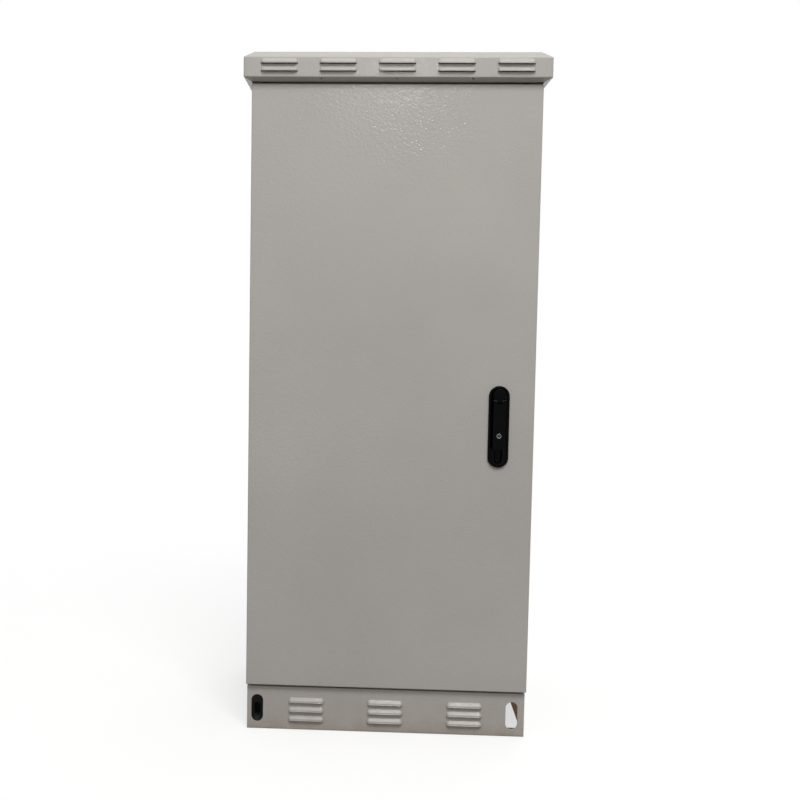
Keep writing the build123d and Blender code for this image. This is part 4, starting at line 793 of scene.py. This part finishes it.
# Door seal: a strip of soft black foam rubber, foamed on to the inner face in one closed loop. Its top is
# domed where it meets the frame's lip.
seal_low, seal_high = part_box("door_seal")
seal_width, seal_corner = 0.012, 0.0125
seal_sharp_angle, dome_steps = 50, 15
dome_foot, foot_rise = 0.004, 0.0005
foot_share, side_share = 0.4, 0.5
dome_turns = np.linspace(0, np.pi, dome_steps)[1:-1]
dome_height = seal_high.y - seal_low.y - dome_foot
seal_side = [(foot_share, 0), (side_share, foot_rise), (side_share, dome_foot)]
seal_profile = np.concatenate([
    seal_side,
    np.column_stack([side_share * np.cos(dome_turns), dome_foot + np.sin(dome_turns) * dome_height]),
    [(-across, height) for across, height in seal_side[::-1]],
])
seal_path_low = np.array([seal_low.x, seal_low.z]) + seal_width / 2
seal_path_high = np.array([seal_high.x, seal_high.z]) - seal_width / 2
seal_loops = []
for across, height in seal_profile:
    grow = across * seal_width
    outline = rounded_rectangle(seal_path_low - grow, seal_path_high + grow, seal_corner + grow)
    seal_loops.append(level_loop(outline, seal_low.y + height))
seal_points = np.concatenate(seal_loops)
index = np.arange(len(seal_points)).reshape(len(seal_loops), -1)
above = np.roll(index, -1, 0)
cells = np.stack([index, above, np.roll(above, -1, 1), np.roll(index, -1, 1)], -1).reshape(-1, 4)
door_seal = new_piece("door_seal_foam", seal_points, cells.tolist(), black_rubber, seal_sharp_angle)
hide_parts("door_seal")
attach(door_seal, "door")

# Handle dish: moulded in glossy black plastic with a boss through the door, clamped from behind on a thin
# rubber gasket. A shallow channel runs round the lever, a deep finger recess lies behind the lever's end,
# and a round bore takes the spindle.
dish_width, dish_length = dish_high.x - dish_low.x, dish_high.z - dish_low.z
gasket_thickness = 0.001
dish_back_y = door_low.y - gasket_thickness
dish_face_y = dish_low.y
dish_round = 0.0025
channel_rim, channel_depth = 0.0045, 0.0015
channel_y = dish_face_y + channel_depth
recess_drop, recess_depth = 0.056, 0.011
recess_middle = handle_middle - [0, recess_drop]
recess_width, recess_length = 0.016, 0.040
recess_scoop, recess_floor_inset = 0.004, 0.0055
recess_floor_y = dish_face_y + recess_depth
boss_play, boss_round = 0.0006, 0.001
boss_back_y = dish_high.y
hub_low, hub_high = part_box("handle_hub")
spindle_middle = np.array([handle_middle[0], hub_high.z - (hub_high.x - hub_low.x) / 2])
spindle_bore, bore_steps = 0.00608, 64
recess_edge = ((0.0, 0.0008), (-0.0002, 0.0003), (-0.0008, 0.0))
channel_edge = ((0.0012, 0.0), (0.0004, -0.0003), (0.0, -0.0010))
dish_rim_edge = ((-0.0003, 0.0001), (-0.0007, 0.0))
scoop_steps, dish_round_steps = 6, 8
gloss_black = (0.0010, 0.0010, 0.0011)
handle_black = moulded_plastic("gloss_black_plastic", gloss_black, rough=0.15, grain=0.000004, gloss=0.05)


def dish_loop(inset, y):
    """The dish's outline drawn in by inset."""
    return level_loop(stadium(handle_middle, dish_width - 2 * inset, dish_length - 2 * inset), y)


def recess_loop(inset, y):
    """The finger recess's outline drawn in by inset."""
    return level_loop(stadium(recess_middle, recess_width - 2 * inset, recess_length - 2 * inset), y)


def boss_loop(inset, y):
    """The boss's outline drawn in by inset, a little clear of its hole in the door."""
    smaller = boss_play + 2 * inset
    return level_loop(stadium(handle_middle, boss_width - smaller, boss_length - smaller), y)


def bored(piece, middle, radius, ys):
    """Cuts a round hole straight through a piece, along y."""
    loops = [level_loop(circle(middle, radius, bore_steps), y) for y in ys]
    cutter = moulded("cutter", loops, piece.active_material)
    cut = piece.modifiers.new("bore", "BOOLEAN")
    cut.operation = "DIFFERENCE"
    cut.object = cutter
    settle(piece)
    bpy.data.objects.remove(cutter)


scoop = arc((recess_scoop, recess_floor_y - recess_scoop), recess_scoop, 90, 180, scoop_steps)
edge_round = arc((dish_round, dish_face_y + dish_round), dish_round, 270, 180, dish_round_steps)
dish_loops = [recess_loop(recess_floor_inset, recess_floor_y)]
dish_loops += [recess_loop(inset, y) for inset, y in scoop]
dish_loops += [recess_loop(inset, channel_y + depth) for inset, depth in recess_edge]
dish_loops += [dish_loop(channel_rim + inset, channel_y + depth) for inset, depth in channel_edge]
dish_loops += [dish_loop(channel_rim + inset, dish_face_y + depth) for inset, depth in dish_rim_edge]
dish_loops += [dish_loop(inset, y) for inset, y in edge_round]
dish_loops += [dish_loop(0.0, dish_back_y), boss_loop(0.0, dish_back_y)]
dish_loops += [boss_loop(0.0, boss_back_y - boss_round), boss_loop(boss_round, boss_back_y)]
handle_dish = moulded("handle_dish_plate", dish_loops, handle_black)
bored(handle_dish, spindle_middle, spindle_bore, (dish_face_y - dish_round, boss_back_y + dish_round))
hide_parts("handle_dish")
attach(handle_dish, "door")
dress(["handle_gasket"], black_rubber)

# Handle hub and lever: moulded in the same black plastic. The hub's spindle turns in the dish's bore; the
# lever is pinned to the hub and lifts out of the dish, with its lower end over the finger recess.
dress(["handle_hub", "handle_lever"], handle_black)

# Lock barrel: a plug turned from brass, set in the lever. A chromed rim stands round its dark core, which
# has an upright keyway.
barrel_low, barrel_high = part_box("lock_barrel")
barrel_middle = np.array([(barrel_low.x + barrel_high.x) / 2, (barrel_low.z + barrel_high.z) / 2])
barrel_radius = (barrel_high.x - barrel_low.x) / 2
core_radius, core_depth, core_edge = 0.0035, 0.0009, 0.0003
keyway_half = np.array([0.0007, 0.0030])
keyway_depth, keyway_corner = 0.004, 0.0002
ring_inside, ring_outside = 0.0001, 0.0002
barrel_start, bead_steps = 45, 13
dark_core_black, chrome_grey = (0.006, 0.006, 0.006, 1), (0.24, 0.24, 0.25, 1)


def chrome_barrel(name):
    """Chrome plate with a soft gloss; inside the core's radius about the axis it is near black and not
    metallic.
    """
    material, tree, coat, place = new_finish(name)
    centred = tree.nodes.new("ShaderNodeMapping")
    centred.inputs["Location"].default_value = (-barrel_middle[0], 0, -barrel_middle[1])
    centred.inputs["Scale"].default_value = (1, 0, 1)
    tree.links.new(place, centred.inputs["Vector"])
    away = tree.nodes.new("ShaderNodeVectorMath")
    away.operation = "LENGTH"
    tree.links.new(centred.outputs["Vector"], away.inputs[0])
    ring_low, ring_high = core_radius - ring_inside, core_radius + ring_outside
    ring = spread(tree, away.outputs["Value"], ring_low, ring_high, 0, 1)
    tree.links.new(blend(tree, ring, dark_core_black, chrome_grey), coat.inputs["Base Color"])
    tree.links.new(spread(tree, noise(tree, place, 1200, 2), 0.3, 0.7, 0.12, 0.22), coat.inputs["Roughness"])
    tree.links.new(ring, coat.inputs["Metallic"])
    return material


def barrel_loop(radius, y):
    """A circle about the barrel's axis at depth y, from the upper right round."""
    return level_loop(circle(barrel_middle, radius, 4 * corner_steps, barrel_start), y)


bead_radius = (barrel_radius - core_radius) / 2
bead = arc((barrel_radius - bead_radius, barrel_low.y + bead_radius), bead_radius, 180, 360, bead_steps)
keyway = rounded_rectangle(barrel_middle - keyway_half, barrel_middle + keyway_half, keyway_corner)
barrel_loops = [level_loop(keyway, barrel_low.y + depth) for depth in (keyway_depth, core_depth)]
barrel_loops += [barrel_loop(core_radius - core_edge, barrel_low.y + core_depth)]
barrel_loops += [barrel_loop(radius, y) for radius, y in bead]
barrel_loops += [barrel_loop(barrel_radius, barrel_high.y)]
lock_barrel = moulded("lock_barrel_plug", barrel_loops, chrome_barrel("chromed_barrel"))
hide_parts("lock_barrel")
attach(lock_barrel, "barrel")

# Floor: a plain pale studio floor that fades into the white backdrop and keeps the object's soft shadow. It
# gives little light back on to the undersides.
floor_size, floor_drop = 40, 0.0005
fade_near, fade_far, fade_least = 0.5, 2.2, 0.66
floor_pale, floor_dull = (0.90, 0.90, 0.895, 1), (0.20, 0.19, 0.175, 1)


def seen_plainly(tree):
    """1 for rays from the camera, mirrored and let through ones too, else 0."""
    ray = tree.nodes.new("ShaderNodeLightPath").outputs
    reflected = combine(tree, "MAXIMUM", ray["Is Camera Ray"], ray["Is Glossy Ray"])
    return combine(tree, "MAXIMUM", reflected, ray["Is Transmission Ray"])


bpy.ops.mesh.primitive_plane_add(size=floor_size, location=(0, 0, -floor_drop))
floor = bpy.context.object
floor.name = "studio_floor"
floor_finish, floor_tree, floor_coat, floor_place = new_finish("studio_floor")
floor_seen = seen_plainly(floor_tree)
floor_distance = floor_tree.nodes.new("ShaderNodeVectorMath")
floor_distance.operation = "LENGTH"
floor_tree.links.new(floor_place, floor_distance.inputs[0])
fade = spread(floor_tree, floor_distance.outputs["Value"], fade_near, fade_far, fade_least, 1.0)
floor_coat.inputs["Roughness"].default_value = 0.9
floor_coat.inputs["Specular IOR Level"].default_value = 0.2
floor_tree.links.new(blend(floor_tree, floor_seen, floor_dull, floor_pale), floor_coat.inputs["Base Color"])
glow = floor_tree.nodes.new("ShaderNodeEmission")
glow.inputs["Color"].default_value = (1, 1, 1, 1)
layers = floor_tree.nodes.new("ShaderNodeMixShader")
floor_tree.links.new(combine(floor_tree, "MULTIPLY", fade, floor_seen), layers.inputs["Fac"])
floor_tree.links.new(floor_coat.outputs["BSDF"], layers.inputs[1])
floor_tree.links.new(glow.outputs["Emission"], layers.inputs[2])
floor_tree.links.new(layers.outputs["Shader"], floor_tree.nodes["Material Output"].inputs["Surface"])
floor.data.materials.append(floor_finish)

# Light: a soft sky, brighter overhead, one broad lamp high in front on the right, a small one above the
# camera that glints in the paint, a weak one low in front and one behind. The camera and reflections see
# the sky white.
def lamp(name, place, aim, size, watts, colour):
    """A square soft lamp at a place, turned to face a point."""
    light = bpy.data.lights.new(name, "AREA")
    light.size = size
    light.energy = watts
    light.color = colour
    holder = bpy.data.objects.new(name, light)
    holder.location = place
    holder.rotation_euler = (Vector(aim) - Vector(place)).to_track_quat("-Z", "Y").to_euler()
    bpy.context.scene.collection.objects.link(holder)


warm_white, soft_white = (1.0, 0.985, 0.965), (1.0, 0.99, 0.98)
lamp("key_lamp", place=(0.7, -3.2, 4.8), aim=(0, -0.2, 0.9), size=1.6, watts=172, colour=warm_white)
lamp("glint_lamp", place=(0.06, -2.75, 1.88), aim=(0, -0.24, 1.3), size=0.12, watts=6, colour=warm_white)
lamp("fill_lamp", place=(-0.6, -3.4, 1.0), aim=(0, -0.24, 0.5), size=1.6, watts=3, colour=soft_white)
lamp("rear_lamp", place=(1.2, 3.2, 2.6), aim=(0, 0.1, 0.8), size=2.2, watts=45, colour=soft_white)
sky_overhead, sky_low = 0.90, 0.12
world = bpy.data.worlds.new("studio_world")
bpy.context.scene.world = world
world.use_nodes = True
sky_tree = world.node_tree
sky = sky_tree.nodes["Background"]
sky.inputs["Color"].default_value = (1, 1, 1, 1)
towards = sky_tree.nodes.new("ShaderNodeSeparateXYZ")
sky_tree.links.new(sky_tree.nodes.new("ShaderNodeTexCoord").outputs["Generated"], towards.inputs["Vector"])
sky_level = spread(sky_tree, towards.outputs["Z"], 0, 1, sky_low, sky_overhead)
sky_tree.links.new(combine(sky_tree, "MAXIMUM", seen_plainly(sky_tree), sky_level), sky.inputs["Strength"])

# Camera: a standing photographer's view, a little left of the middle, looking slightly down. The lens axis is
# shifted sideways as the photograph's framing needs.
focal_pixels, frame_pixels, axis_shift_pixels = 1200.0, 800.0, 100.0
camera_place = (-0.0497, -2.7621, 0.9246)
pitch, roll, yaw = radians(4.675), radians(-0.764), radians(3.214)
camera_data = bpy.data.cameras.new("camera")
camera_data.sensor_width = 36.0
camera_data.lens = camera_data.sensor_width * focal_pixels / frame_pixels
camera_data.shift_x = axis_shift_pixels / frame_pixels
camera_data.clip_end = 100
camera = bpy.data.objects.new("camera", camera_data)
swing, tilt = Matrix.Rotation(yaw, 4, "Z"), Matrix.Rotation(radians(90) - pitch, 4, "X")
camera.matrix_world = Matrix.Translation(camera_place) @ swing @ tilt @ Matrix.Rotation(-roll, 4, "Z")
bpy.context.scene.collection.objects.link(camera)
bpy.context.scene.camera = camera
bpy.context.scene.view_settings.view_transform = "Standard"
